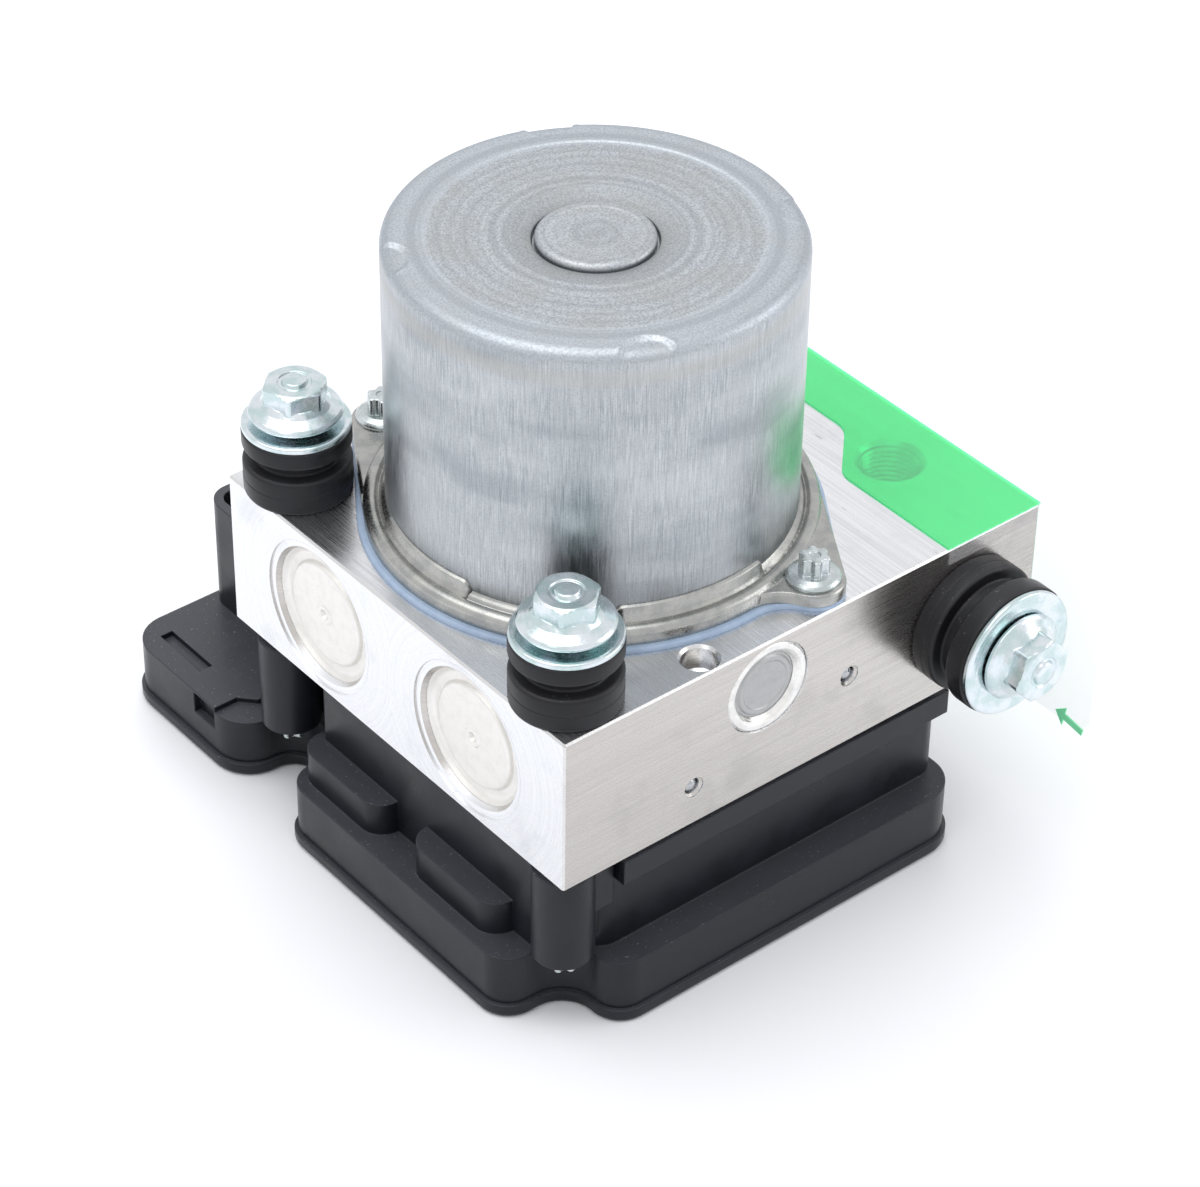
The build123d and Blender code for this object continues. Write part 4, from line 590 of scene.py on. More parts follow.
# Meshes worked out as whole arrays
def rounded(corners: Sequence[tuple[float, float, float]], closed: bool = True, steps: int = 8) -> np.ndarray:
    """Polygon or open line whose corners are arcs.

    Each corner's arc touches both its sides: it starts radius / tan(half the angle between
    them) from the corner, its centre is on their bisector at radius / sin(half the angle),
    and its points turn evenly.

    Args:
        corners: (u, v, radius) points; a radius of 0 stays sharp.
        closed: whether the last point joins the first.
        steps: points on each arc.

    Returns:
        Array of points, one row each.
    """
    data = np.array(corners, float)
    point, radius = data[:, :2], data[:, 2].copy()
    if not closed:
        radius[0] = radius[-1] = 0
    back = np.roll(point, 1, 0) - point
    ahead = np.roll(point, -1, 0) - point
    back /= np.linalg.norm(back, axis=1, keepdims=True)
    ahead /= np.linalg.norm(ahead, axis=1, keepdims=True)
    half = np.arccos(np.clip((back * ahead).sum(1), -1, 1)) / 2
    bisector = back + ahead
    length = np.linalg.norm(bisector, axis=1, keepdims=True)
    bisector = bisector / np.where(length < 1e-9, 1, length)
    centre = point + bisector * (radius / np.sin(half))[:, None]
    reach = (radius / np.tan(half))[:, None]
    start, end = point + back * reach - centre, point + ahead * reach - centre
    first = np.arctan2(start[:, 1], start[:, 0])
    turn = np.arctan2(end[:, 1], end[:, 0]) - first
    turn = (turn + np.pi) % (2 * np.pi) - np.pi
    share = np.linspace(0, 1, steps)
    angle = first[:, None] + turn[:, None] * share
    arc = centre[:, None] + radius[:, None, None] * np.stack([np.cos(angle), np.sin(angle)], 2)
    keep = np.ones((len(point), steps), bool)
    keep[radius == 0, 1:] = False
    return arc[keep]


def spaced(line: np.ndarray, gap: float) -> np.ndarray:
    """Open line with added points so that no two are further apart than a gap."""
    step = np.linalg.norm(np.diff(line, axis=0), axis=1)
    count = np.maximum(1, np.ceil(step / gap).astype(int))
    parts = [a + (b - a) * np.arange(n)[:, None] / n for a, b, n in zip(line[:-1], line[1:], count)]
    return np.vstack([*parts, line[-1:]])


def grid_faces(rows: int, columns: int, close_rows: bool, close_columns: bool) -> list[list[int]]:
    """Quads of a grid whose points are stored row by row."""
    r = np.arange(rows if close_rows else rows - 1)[:, None]
    c = np.arange(columns if close_columns else columns - 1)[None, :]
    down, right = (r + 1) % rows, (c + 1) % columns
    quads = np.stack([r * columns + c, r * columns + right, down * columns + right, down * columns + c], -1)
    return quads.reshape(-1, 4).tolist()


@dataclass
class Surface:
    """Points in millimetres and the faces between them."""

    points: np.ndarray
    faces: list

    def placed(self, origin: Sequence[float], face: Face) -> "Surface":
        """The surface with its own Z turned to a direction and its origin moved.

        Args:
            origin: new place of the surface's origin.
            face: direction of its own Z.

        Returns:
            The turned and moved surface.
        """
        turn = Vector((0, 0, 1)).rotation_difference(Vector(face.value)).to_matrix()
        points = self.points @ np.array(turn).T + np.array(origin, float)
        return Surface(points, self.faces)

    def __add__(self, other: "Surface") -> "Surface":
        """Both surfaces as one."""
        shifted = [[k + len(self.points) for k in face] for face in other.faces]
        return Surface(np.vstack([self.points, other.points]), [*self.faces, *shifted])


def packed_surface(node: str) -> Surface:
    """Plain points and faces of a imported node, in millimetres."""
    mesh = frame["nodes"][node].data
    points = np.empty(len(mesh.vertices) * 3)
    mesh.vertices.foreach_get("co", points)
    return Surface(points.reshape(-1, 3) / MM, [list(face.vertices) for face in mesh.polygons])


def lathe(profile: np.ndarray, steps: int = 96, closed: bool = False,
          shape: Callable | None = None) -> Surface:
    """Surface of revolution about Z.

    The point at angle t of profile point (r, z) is (r cos t, r sin t, z); a shape function
    of (t, r, z) may give a new r and z first.

    Args:
        profile: rows of (radius, height).
        steps: points round the axis.
        closed: whether the profile is a closed loop.
        shape: optional change of radius and height by angle.

    Returns:
        The surface.
    """
    angle = np.linspace(0, 2 * np.pi, steps, endpoint=False)[None, :]
    radius = np.repeat(profile[:, :1], steps, 1)
    height = np.repeat(profile[:, 1:], steps, 1)
    if shape:
        radius, height = shape(angle, radius, height)
    points = np.stack([radius * np.cos(angle), radius * np.sin(angle), height], -1)
    return Surface(points.reshape(-1, 3), grid_faces(len(profile), steps, closed, True))


def arc_band(section: np.ndarray, first: float, last: float, end: float) -> Surface:
    """Closed section carried along an arc about Z, with rounded ends.

    At share s of the arc the section keeps its shape; within an end's length it sinks to its
    own foot by the root of 1 - (1 - distance / length) squared.

    Args:
        section: closed loop of (radius, height); its first point is the foot.
        first: start angle in degrees.
        last: end angle in degrees.
        end: length of each rounded end, in degrees.

    Returns:
        The surface.
    """
    angle = np.radians(np.concatenate([
        np.linspace(first, first + end, 8), np.linspace(first + end, last - end, 40)[1:-1],
        np.linspace(last - end, last, 8)]))[:, None]
    near = np.degrees(np.minimum(angle - angle[0], angle[-1] - angle)) / end
    size = np.sqrt(np.clip(1 - (1 - np.clip(near, 0, 1)) ** 2, 0.04, 1))
    radius = section[0, 0] + (section[None, :, 0] - section[0, 0]) * size
    height = section[0, 1] + (section[None, :, 1] - section[0, 1]) * size
    points = np.stack([radius * np.cos(angle), radius * np.sin(angle), height], -1).reshape(-1, 3)
    rows, columns = len(angle), len(section)
    faces = grid_faces(rows, columns, False, True)
    faces.append(list(range(columns)))
    faces.append([(rows - 1) * columns + k for k in reversed(range(columns))])
    return Surface(points, faces)


def plate_of(outline: np.ndarray, low: float, high: float) -> Surface:
    """Flat plate from an outline between two heights."""
    count = len(outline)
    points = np.vstack([np.column_stack([outline, np.full(count, level)]) for level in (low, high)])
    faces = grid_faces(2, count, False, True)
    faces += [list(range(count))[::-1], [count + k for k in range(count)]]
    return Surface(points, faces)


def make_object(name: str, surface: Surface, shading: Shading = Shading.ROUND,
                outwards: bool = True) -> Object:
    """Mesh object from a surface, its doubles merged and its faces turned outwards.

    Args:
        name: the piece's name.
        surface: its points and faces, in millimetres.
        shading: where curves end and edges begin.
        outwards: whether its faces still have to be turned outwards.

    Returns:
        The new object, linked to the scene.
    """
    mesh = bpy.data.meshes.new(name)
    mesh.from_pydata((surface.points * MM).tolist(), [], surface.faces)
    work = bmesh.new()
    work.from_mesh(mesh)
    bmesh.ops.remove_doubles(work, verts=work.verts, dist=1e-6)
    bmesh.ops.dissolve_degenerate(work, edges=work.edges, dist=1e-7)
    if outwards:
        bmesh.ops.recalc_face_normals(work, faces=work.faces)
    work.to_mesh(mesh)
    work.free()
    mesh.shade_smooth()
    mesh.set_sharp_from_angle(angle=math.radians(shading.value))
    made = bpy.data.objects.new(name, mesh)
    bpy.context.scene.collection.objects.link(made)
    return made


@dataclass
class SubAssembly:
    """Part of the module whose pieces are made and dressed together."""

    block_low: np.ndarray = field(default_factory=lambda: extent("hydraulic_block")[0])
    block_high: np.ndarray = field(default_factory=lambda: extent("hydraulic_block")[1])

    def add(self, name: str, surface: Surface, finish: Finish, *nodes: str,
            shading: Shading = Shading.ROUND) -> Object:
        """Make a piece of the module's body.

        Args:
            name: the piece's name.
            surface: its shape.
            finish: its material.
            nodes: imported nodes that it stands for.
            shading: where curves end and edges begin.

        Returns:
            The new object.
        """
        return self.dress(make_object(name, surface, shading), finish, MODULE, *nodes)

    def dress(self, piece: Object, finish: Finish, body: str, *nodes: str) -> Object:
        """Give a piece its finish and its body, and hide the nodes that it stands for."""
        piece.data.materials.append(finish.material())
        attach(piece, body)
        if nodes:
            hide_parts(*nodes)
        log.info("%s: %s, %d faces", piece.name, finish.name, len(piece.data.polygons))
        return piece

    def recast(self, node: str, finish: Finish, shading: Shading = Shading.CRISP) -> Object:
        """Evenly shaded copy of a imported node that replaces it.

        Args:
            node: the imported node.
            finish: its material.
            shading: where curves end and edges begin.

        Returns:
            The copy.
        """
        made = make_object(node + "_piece", packed_surface(node), shading, outwards=False)
        return self.dress(made, finish, frame["nodes"][node]["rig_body"], node)

    def finish_nodes(self, finish: Finish, *nodes: str) -> None:
        """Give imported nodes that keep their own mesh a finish."""
        for node in nodes:
            mesh = frame["nodes"][node].data
            mesh.materials.clear()
            mesh.materials.append(finish.material())
            log.info("%s: %s", node, finish.name)


@dataclass
class Motor(SubAssembly):
    """Pump motor: drawn can, pressed flange with two ears, gasket and two screws."""

    radius: float = 35.0
    height: float = 55.5
    edge: float = 2.2
    step_r: float = 28.0
    step: float = 0.2
    boss_r: float = 10.0
    funnel_r: float = 15.0
    funnel: float = 0.9
    crack: float = 0.9
    notch_r: float = 4.6
    notch_at: float = 35.3
    notch_depth: float = 0.5
    notch_angle: float = 64.5
    gasket: float = 0.9
    rim_r: float = 38.8
    rim_top: float = 4.1
    ear_top: float = 3.1
    gasket_r: float = 39.9
    ear_r: float = 5.5
    ear_reach: float = 42.8
    ear_angle: float = -70.6
    ear_blend: float = 8.0
    beads: tuple = ((156.0, 197.5), (236.0, 284.0))
    screw_r: float = 4.7
    head_r: float = 2.7
    head_top: float = 4.6

    def build(self) -> None:
        """Make every visible piece of the motor."""
        foot = (0, 0, self.block_high[2])
        self.add("motor_can", self.can().placed(foot, Face.UP), CAN, "motor_housing")
        self.add("motor_flange", self.flange().placed(foot, Face.UP), FLANGE, "motor_housing")
        for number, (first, last) in enumerate(self.beads, 1):
            bead = arc_band(self.bead_section(), first, last, 3.5).placed(foot, Face.UP)
            self.add(f"motor_bead_{number}", bead, FLANGE, "motor_housing")
        self.add("motor_gasket", self.gasket_ring().placed(foot, Face.UP), GASKET, "motor_seal")
        for number, turn in enumerate((0, 180), 1):
            angle = math.radians(self.ear_angle + turn)
            ear = self.ear_reach
            place = (ear * math.cos(angle), ear * math.sin(angle), foot[2] + self.ear_top)
            self.add(f"motor_screw_{number}", self.screw().placed(place, Face.UP), SCREW, "motor_screws")

    def can(self) -> Surface:
        """Drawn can: the revolved section, with four flats pressed into its top edge.

        A flat lowers each point of the top inside a circle centred on the edge, by a depth
        that rises smoothly over the circle's last half millimetre, and lifts a fine ridge
        round it.
        """
        top = self.height
        low = top - self.step
        soft, ridge_high, ridge_width = 0.5, 0.12, 0.35
        profile = rounded([
            (self.radius - 3, 2.0, 0), (self.radius, 2.0, 0), (self.radius, top, self.edge),
            (self.step_r + 0.5, top, 0.4), (self.step_r, low, 0.4), (self.funnel_r, low, 3.0),
            (self.boss_r + 0.5, low - self.funnel, 0.35),
            (self.boss_r + 0.3, low - self.funnel - self.crack, 0),
            (self.boss_r, low - self.funnel - self.crack, 0), (self.boss_r, top - 0.1, 1.0),
            (self.boss_r - 1.6, top - 0.1, 0.6), (self.boss_r - 2.2, top - 0.22, 0.6), (0, top - 0.22, 0),
        ], closed=False, steps=9)

        def press(angle: np.ndarray, r: np.ndarray, z: np.ndarray) -> tuple[np.ndarray, np.ndarray]:
            """Lower the points inside the four circles."""
            quarter = np.radians(90)
            turn = (angle - np.radians(self.notch_angle) + quarter / 2) % quarter - quarter / 2
            away = np.hypot(r * np.cos(turn) - self.notch_at, r * np.sin(turn))
            inside = np.clip((self.notch_r - away) / soft, 0, 1)
            inside = inside * inside * (3 - 2 * inside)
            ridge = np.exp(-((away - self.notch_r - ridge_width) / ridge_width) ** 2)
            high = np.clip((z - (top - self.edge)) / self.edge, 0, 1)
            return r, z - (self.notch_depth * inside - ridge_high * ridge) * high

        return lathe(np.vstack([profile[:2], spaced(profile[2:], 0.5)]), 720, shape=press)

    def outer_radius(self, angle: np.ndarray, rim: float) -> np.ndarray:
        """Outline of the eared flange, as a radius by angle.

        It is the largest of the rim's radius, the far side of each ear's end circle, the
        straight line that touches both circles, and the hollow arc that touches both.

        Args:
            angle: angles about the motor's axis.
            rim: the round part's radius.

        Returns:
            Radius for each angle.
        """
        result = np.full(angle.shape, rim)
        reach, blend = self.ear_reach, self.ear_blend
        spread = math.acos((rim - self.ear_r) / reach)
        touch = math.atan2(self.ear_r * math.sin(spread), reach + self.ear_r * math.cos(spread))
        to_blend = rim + blend
        hollow = math.acos((to_blend**2 + reach**2 - (self.ear_r + blend) ** 2) / (2 * to_blend * reach))
        for ear in (self.ear_angle, self.ear_angle + 180):
            turn = (angle - math.radians(ear) + np.pi) % (2 * np.pi) - np.pi
            room = self.ear_r**2 - (reach * np.sin(turn)) ** 2
            hit = (room > 0) & (np.cos(turn) > 0)
            far = reach * np.cos(turn) + np.sqrt(np.maximum(room, 0))
            result = np.where(hit, np.maximum(result, far), result)
            flank = (turn > touch) & (turn < spread)
            result = np.where(flank, np.maximum(result, rim / np.cos(turn - spread)), result)
            bend = turn + hollow
            room = blend**2 - (to_blend * np.sin(bend)) ** 2
            near = to_blend * np.cos(bend) - np.sqrt(np.maximum(room, 0))
            side = (bend > 0) & (turn < 0) & (room > 0) & ~hit
            result = np.where(side, np.maximum(result, near), result)
        return result

    def plate(self, rim: float, rows: int, height: Callable, low: float, inner: float) -> Surface:
        """Closed ring between an inner circle and the eared outline.

        Row k of the top lies at inner + (outline - inner) (1 - (1 - k / rows) to the 1.35), at
        the height that the function of (radius, outline) gives; the side drops to the foot
        and the underside runs back.

        Args:
            rim: round part's radius.
            rows: rows on the top.
            height: top height by radius and outline.
            low: height of the foot.
            inner: inner circle's radius.

        Returns:
            The surface.
        """
        steps = 900
        angle = np.linspace(0, 2 * np.pi, steps, endpoint=False)[None, :]
        edge = self.outer_radius(angle, rim)
        share = 1 - (1 - np.linspace(0, 1, rows)[:, None]) ** 1.35
        radius = inner + (edge - inner) * share
        level = np.vstack([height(radius, edge), np.full((2, steps), low)])
        radius = np.vstack([radius, edge, np.full_like(edge, inner)])
        points = np.stack([radius * np.cos(angle), radius * np.sin(angle), level], -1)
        return Surface(points.reshape(-1, 3), grid_faces(rows + 2, steps, True, True))

    def flange(self) -> Surface:
        """Pressed flange: rolled rim, a valley inside it, a foot at the can, thin ears."""
        roll, ear_round = 1.5, 0.7
        valley, valley_r, valley_width = 3.45, 36.2, 0.4
        foot_high, foot_r, foot_width = 0.7, 35.8, 0.9

        def height(r: np.ndarray, edge: np.ndarray) -> np.ndarray:
            """Rim, valley, foot and ears by radius."""
            fall = np.clip(r - self.rim_r + roll, 0, None)
            rim = self.rim_top - roll + np.sqrt(np.clip(roll**2 - fall**2, 0, None))
            dip = (self.rim_top - valley) * np.exp(-((r - valley_r) / valley_width) ** 2)
            rim = np.where(fall < roll, rim, 0) - dip
            foot = foot_high * np.clip((foot_r - r) / foot_width, 0, 1) ** 2
            near = ear_round - np.clip(edge - r, 0, ear_round)
            ears = self.ear_top - ear_round + np.sqrt(np.clip(ear_round**2 - near**2, 0, None))
            ears = np.where(edge > self.rim_r + 0.3, ears, 0)
            return np.maximum(np.maximum(rim + foot, ears), self.gasket + 0.5)

        return self.plate(self.rim_r, 70, height, self.gasket, self.radius - 0.4)

    def bead_section(self) -> np.ndarray:
        """Section of the thick arcs at the can's foot: a ledge that leans on the wall."""
        r = self.radius
        return rounded([
            (r - 0.6, 3.2, 0), (r + 2.1, 3.2, 0.1), (r + 1.15, 4.5, 1.6), (r + 0.7, 6.2, 0.3),
            (r + 0.15, 6.5, 0.1), (r - 0.6, 6.2, 0),
        ], steps=5)

    def gasket_ring(self) -> Surface:
        """Gasket: the flange's outline grown a little, with a rounded edge."""
        soft = 0.6

        def height(r: np.ndarray, edge: np.ndarray) -> np.ndarray:
            """Flat with a quarter-round edge."""
            near = soft - np.clip(edge - r, 0, soft)
            return self.gasket - soft + np.sqrt(np.clip(soft**2 - near**2, 0, None))

        return self.plate(self.gasket_r, 60, height, 0.02, self.radius - 1.5)

    def screw(self) -> Surface:
        """Flanged screw with a six-lobed head."""
        washer = rounded([
            (0, 0, 0), (self.screw_r - 0.1, 0, 0), (self.screw_r, 0.5, 0.3), (self.screw_r - 0.5, 1.0, 0.3),
            (3.3, 1.45, 0.4), (0, 1.45, 0),
        ], closed=False, steps=5)
        return lathe(washer, 72) + star(self.head_r, 1.3, self.head_top)


def star(radius: float, low: float, high: float) -> Surface:
    """Six-lobed head standing on its foot, with a shallow dish in its top.

    The radius at angle t is radius (0.87 + 0.13 s) where s is cos 6t raised, sign kept, to
    the power 0.6, which fattens the lobes and sharpens the flutes.

    Args:
        radius: radius at the lobes.
        low: height of the foot.
        high: height of the top.

    Returns:
        The surface.
    """
    profile = rounded([
        (0, low, 0), (radius, low, 0), (radius, high, 0.35), (radius * 0.45, high, 0.1),
        (radius * 0.4, high - 0.25, 0.1), (0, high - 0.25, 0),
    ], closed=False, steps=5)

    mean, swing, power = 0.87, 0.13, 0.6

    def lobes(angle: np.ndarray, r: np.ndarray, z: np.ndarray) -> tuple[np.ndarray, np.ndarray]:
        """Pull the side in between the lobes."""
        wave = np.cos(6 * angle)
        wave = np.sign(wave) * np.abs(wave) ** power
        return r * (mean + swing * wave * (r > radius * 0.5)), z

    return lathe(profile, 144, shape=lobes)


@dataclass
class RubberMount(SubAssembly):
    """Grooved rubber bush held by a collared steel bush and a flange bolt."""

    name: str = "front"
    place: tuple[float, float, float] = (0.0, 0.0, 0.0)
    face: Face = Face.UP
    radius: float = 9.45
    collar_r: float = 9.4
    groove: tuple[float, float, float] = (6.5, 9.2, 12.6)
    collar: float = 1.2
    rise: float = 1.4
    flange_r: float = 8.2
    across: float = 10.0
    hex_turn: float = 42.0
    waist: float = 2.4
    shank: float = 4.05

    def build(self) -> None:
        """Make the rubber, the collar and the bolt."""
        pieces = (
            (f"rubber_{self.name}", self.rubber(), RUBBER, f"damper_rubber_{self.name}"),
            (f"bush_{self.name}", self.bush(), BOLT, "damper_bushes"),
            (f"bolt_{self.name}", self.bolt(), BOLT, "damper_bolts"),
        )
        for name, surface, finish, node in pieces:
            self.add(name, surface.placed(self.place, self.face), finish, node)

    def rubber(self) -> Surface:
        """Bush: closed section with the bracket's groove, a mould line and a parting step."""
        r = self.radius
        low, high, top = self.groove
        waist, line = r - self.waist, low * 0.52
        return lathe(rounded([
            (self.shank, 0.02, 0), (r - 0.3, 0.02, 0), (r - 0.05, 0.5, 0.3), (r, line - 0.15, 0.05),
            (r - 0.1, line, 0.03), (r - 0.02, line + 0.15, 0.05), (r, low, 0.8), (waist, low + 0.15, 0.5),
            (waist, high - 0.15, 0.5), (r, high, 0.8), (r, top, 0.45), (self.shank, top, 0),
        ], steps=6), TURNED_STEPS, closed=True)

    def bush(self) -> Surface:
        """Collar like a washer on the rubber, its top a shallow cone."""
        r, top = self.collar_r, self.groove[2]
        high = top + self.collar
        return lathe(rounded([
            (3.1, top - 3, 0), (self.shank - 0.05, top - 3, 0), (self.shank - 0.05, top, 0), (r, top, 0.35),
            (r, high - 0.1, 0.4), (r - 0.8, high, 0.4), (r - 2.2, high - 0.12, 0.6), (3.1, high - 0.15, 0),
        ], steps=6), TURNED_STEPS, closed=True)

    def bolt(self) -> Surface:
        """Flange bolt: coned flange, hexagon with a crowned top, and a turned pip.

        The hexagon's radius at angle t is half its width across flats over cos of the angle
        to the nearest flat's middle, cut by a cone at the crown and by a small round at the
        corners.
        """
        low = self.groove[2] + self.collar
        edge = low + self.rise
        foot, top = edge + 1.6, edge + 6.1
        r, neck = self.flange_r, self.across / 3**0.5
        flange = lathe(rounded([
            (2.8, low - 0.4, 0), (4.6, low - 0.05, 0.2), (r - 0.2, edge, 0.35), (r, edge + 0.7, 0.35),
            (r - 0.5, edge + 1.2, 0.3), (neck + 0.3, foot + 0.35, 0.9), (neck - 0.6, foot + 1.4, 0.2),
            (0, foot + 1.4, 0),
        ], closed=False, steps=6), TURNED_STEPS)
        flat = self.across / 2
        profile = spaced(rounded([
            (0, foot - 0.2, 0), (neck, foot - 0.2, 0), (neck, top - 0.55, 0.05), (flat - 0.35, top, 0.2),
            (3.0, top, 0.15), (2.8, top - 0.3, 0.15), (2.3, top - 0.3, 0.12), (1.95, top + 0.45, 0.35),
            (0, top + 0.5, 0),
        ], closed=False, steps=4), 0.5)
        turn = math.radians(self.hex_turn)

        def hexagon(angle: np.ndarray, r: np.ndarray, z: np.ndarray) -> tuple[np.ndarray, np.ndarray]:
            """Cut the round section down to six flats."""
            to_flat = (angle - turn) % (np.pi / 3) - np.pi / 6
            limit = np.minimum(flat / np.cos(to_flat), neck - 0.18)
            return np.minimum(r, limit), z

        return flange + lathe(profile, 180, shape=hexagon)


@dataclass
class Hydraulics(SubAssembly):
    """Milled block with its accumulator caps, pump plugs, staked balls and threaded ports."""

    acc_y: float = 20.6
    acc_z: float = 51.1
    pump_z: float = 56.9
    cap_r: float = 12.38
    plug_r: float = 8.7
    plug_depth: float = 0.9
    plug_disc_r: float = 6.2
    thread_pitch: float = 1.0
    thread_deep: float = 0.45
    master_port: tuple[float, float, float] = (49.4, 20.8, 5.5)
    wheel_port_y: tuple[float, float] = (11.5, 33.5)
    wheel_port_z: float = 51.0
    wheel_port_r: float = 4.55

    def build(self) -> None:
        """Make the block's visible pieces."""
        self.recast("hydraulic_block", ALUMINIUM)
        self.recast("ball_plugs", STEEL)
        for number, side in enumerate((-1, 1), 1):
            place = (self.block_low[0], side * self.acc_y, self.acc_z)
            finish = TurnedMetal(f"turned_aluminium_cap_{number}", "milled_aluminium", "EBE9E5", 1.0, 0.42,
                                 centre=place, plane=(0.0, 1.0, 1.0), cloud="D6D4CF")
            cap = self.cap().placed(place, Face.LEFT)
            self.add(f"cap_{number}", cap, finish, f"accumulator_cap_{number}")
            face = Face.FRONT if side < 0 else Face.BACK
            place = (0.0, side * self.block_high[1], self.pump_z)
            finish = TurnedMetal(f"turned_steel_plug_{number}", "bearing_steel", "B4B5B5", 1.0, 0.4,
                                 centre=place, plane=(1.0, 0.0, 1.0), cloud="9C9D9C")
            self.add(f"plug_{number}", self.plug().placed(place, face), finish, f"pump_plug_{number}")
            self.add(f"plug_ring_{number}", self.plug_ring().placed(place, face), CAP, f"pump_plug_{number}")
        self.threads()

    def cap(self) -> Surface:
        """Accumulator cap: raised disc with a soft edge, shallow groove and a centre mark."""
        r = self.cap_r
        face, groove, back = -1.3, -2.3, -4.3
        return lathe(rounded([
            (0, face - 0.75, 0), (0.6, face - 0.7, 0.2), (1.0, face + 0.15, 0.15), (1.7, face + 0.15, 0.15),
            (2.0, face - 0.08, 0.2), (2.5, face, 0.3), (9.5, face, 0.8), (9.9, groove, 0.35),
            (11.5, groove, 0.9), (r, -1.25, 0), (r, back, 0), (0, back, 0),
        ], closed=False, steps=6), TURNED_STEPS)

    def plug(self) -> Surface:
        """Pump plug inside its staked ring: a shallow dish with a flat middle."""
        r, floor = self.plug_disc_r, -self.plug_depth
        return lathe(rounded([
            (0, floor, 0), (4.5, floor, 0.2), (4.75, floor + 0.2, 0.2), (5.5, floor + 0.2, 0.2),
            (5.8, floor - 0.2, 0.1), (r, floor - 0.2, 0), (r, -5.8, 0), (0, -5.8, 0),
        ], closed=False, steps=6), TURNED_STEPS)

    def plug_ring(self) -> Surface:
        """Staked ring round the plug, flush with the block."""
        r, low, inner = self.plug_r, -5.7, self.plug_disc_r
        return lathe(rounded([
            (inner + 0.02, low, 0), (inner + 0.02, -self.plug_depth - 0.1, 0), (6.8, -0.35, 0.3),
            (7.3, -0.06, 0.25), (8.2, -0.06, 0.2), (r, -0.5, 0.2), (r, low, 0),
        ], steps=6), TURNED_STEPS, closed=True)

    def threads(self) -> None:
        """Threads in the pipe ports, as closed sleeves of rings."""
        x, y, r = self.master_port
        top = self.block_high[2]
        spots = [((x, side * y, top), Face.UP, r) for side in (-1, 1)]
        spots += [((self.block_high[0], side * y, self.wheel_port_z), Face.RIGHT, self.wheel_port_r)
                  for side in (-1, 1) for y in self.wheel_port_y]
        for number, (place, face, bore) in enumerate(spots, 1):
            thread = self.thread(bore).placed(place, face)
            self.add(f"port_thread_{number}", thread, ALUMINIUM, shading=Shading.CRISP)

    def thread(self, bore: float) -> Surface:
        """Rings whose inner radius swings between the bore's and a thread's depth less."""
        rows = 2 * int(9.0 / self.thread_pitch) + 1
        height = -1.2 - np.arange(rows) * self.thread_pitch / 2
        inner = bore - 0.04 - self.thread_deep * (np.arange(rows) % 2)
        outer = np.array([[bore - 0.01, height[-1]], [bore - 0.01, height[0]]])
        return lathe(np.vstack([np.column_stack([inner, height]), outer]), 48, closed=True)


@dataclass
class ControlUnit(SubAssembly):
    """Moulded housing, cover, seal and screws under the block."""

    columns: tuple = ((-37.5, -39.5), (-37.5, 38.0), (49.8, -19.0), (49.8, 19.0))
    column_foot: float = 15.5
    lobe_r: float = 2.9
    lobe_low: float = 0.9
    lobe_high: float = 3.2

    def build(self) -> None:
        """Dress the unit's pieces."""
        self.recast("ecu_housing", PLASTIC)
        self.recast("ecu_cover", PLASTIC)
        self.recast("ecu_seal", RUBBER)
        self.screws()
        self.recast("connector_pins", TIN)
        self.recast("circuit_board", BOARD)

    def screws(self) -> None:
        """Packed screws, with six-lobed heads that reach below the columns."""
        self.recast("ecu_screws", SCREW)
        for number, (x, y) in enumerate(self.columns, 1):
            head = star(self.lobe_r, self.lobe_low, self.lobe_high)
            head = head.placed((x, y, self.column_foot), Face.DOWN)
            self.add(f"ecu_screw_head_{number}", head, SCREW, "ecu_screws")


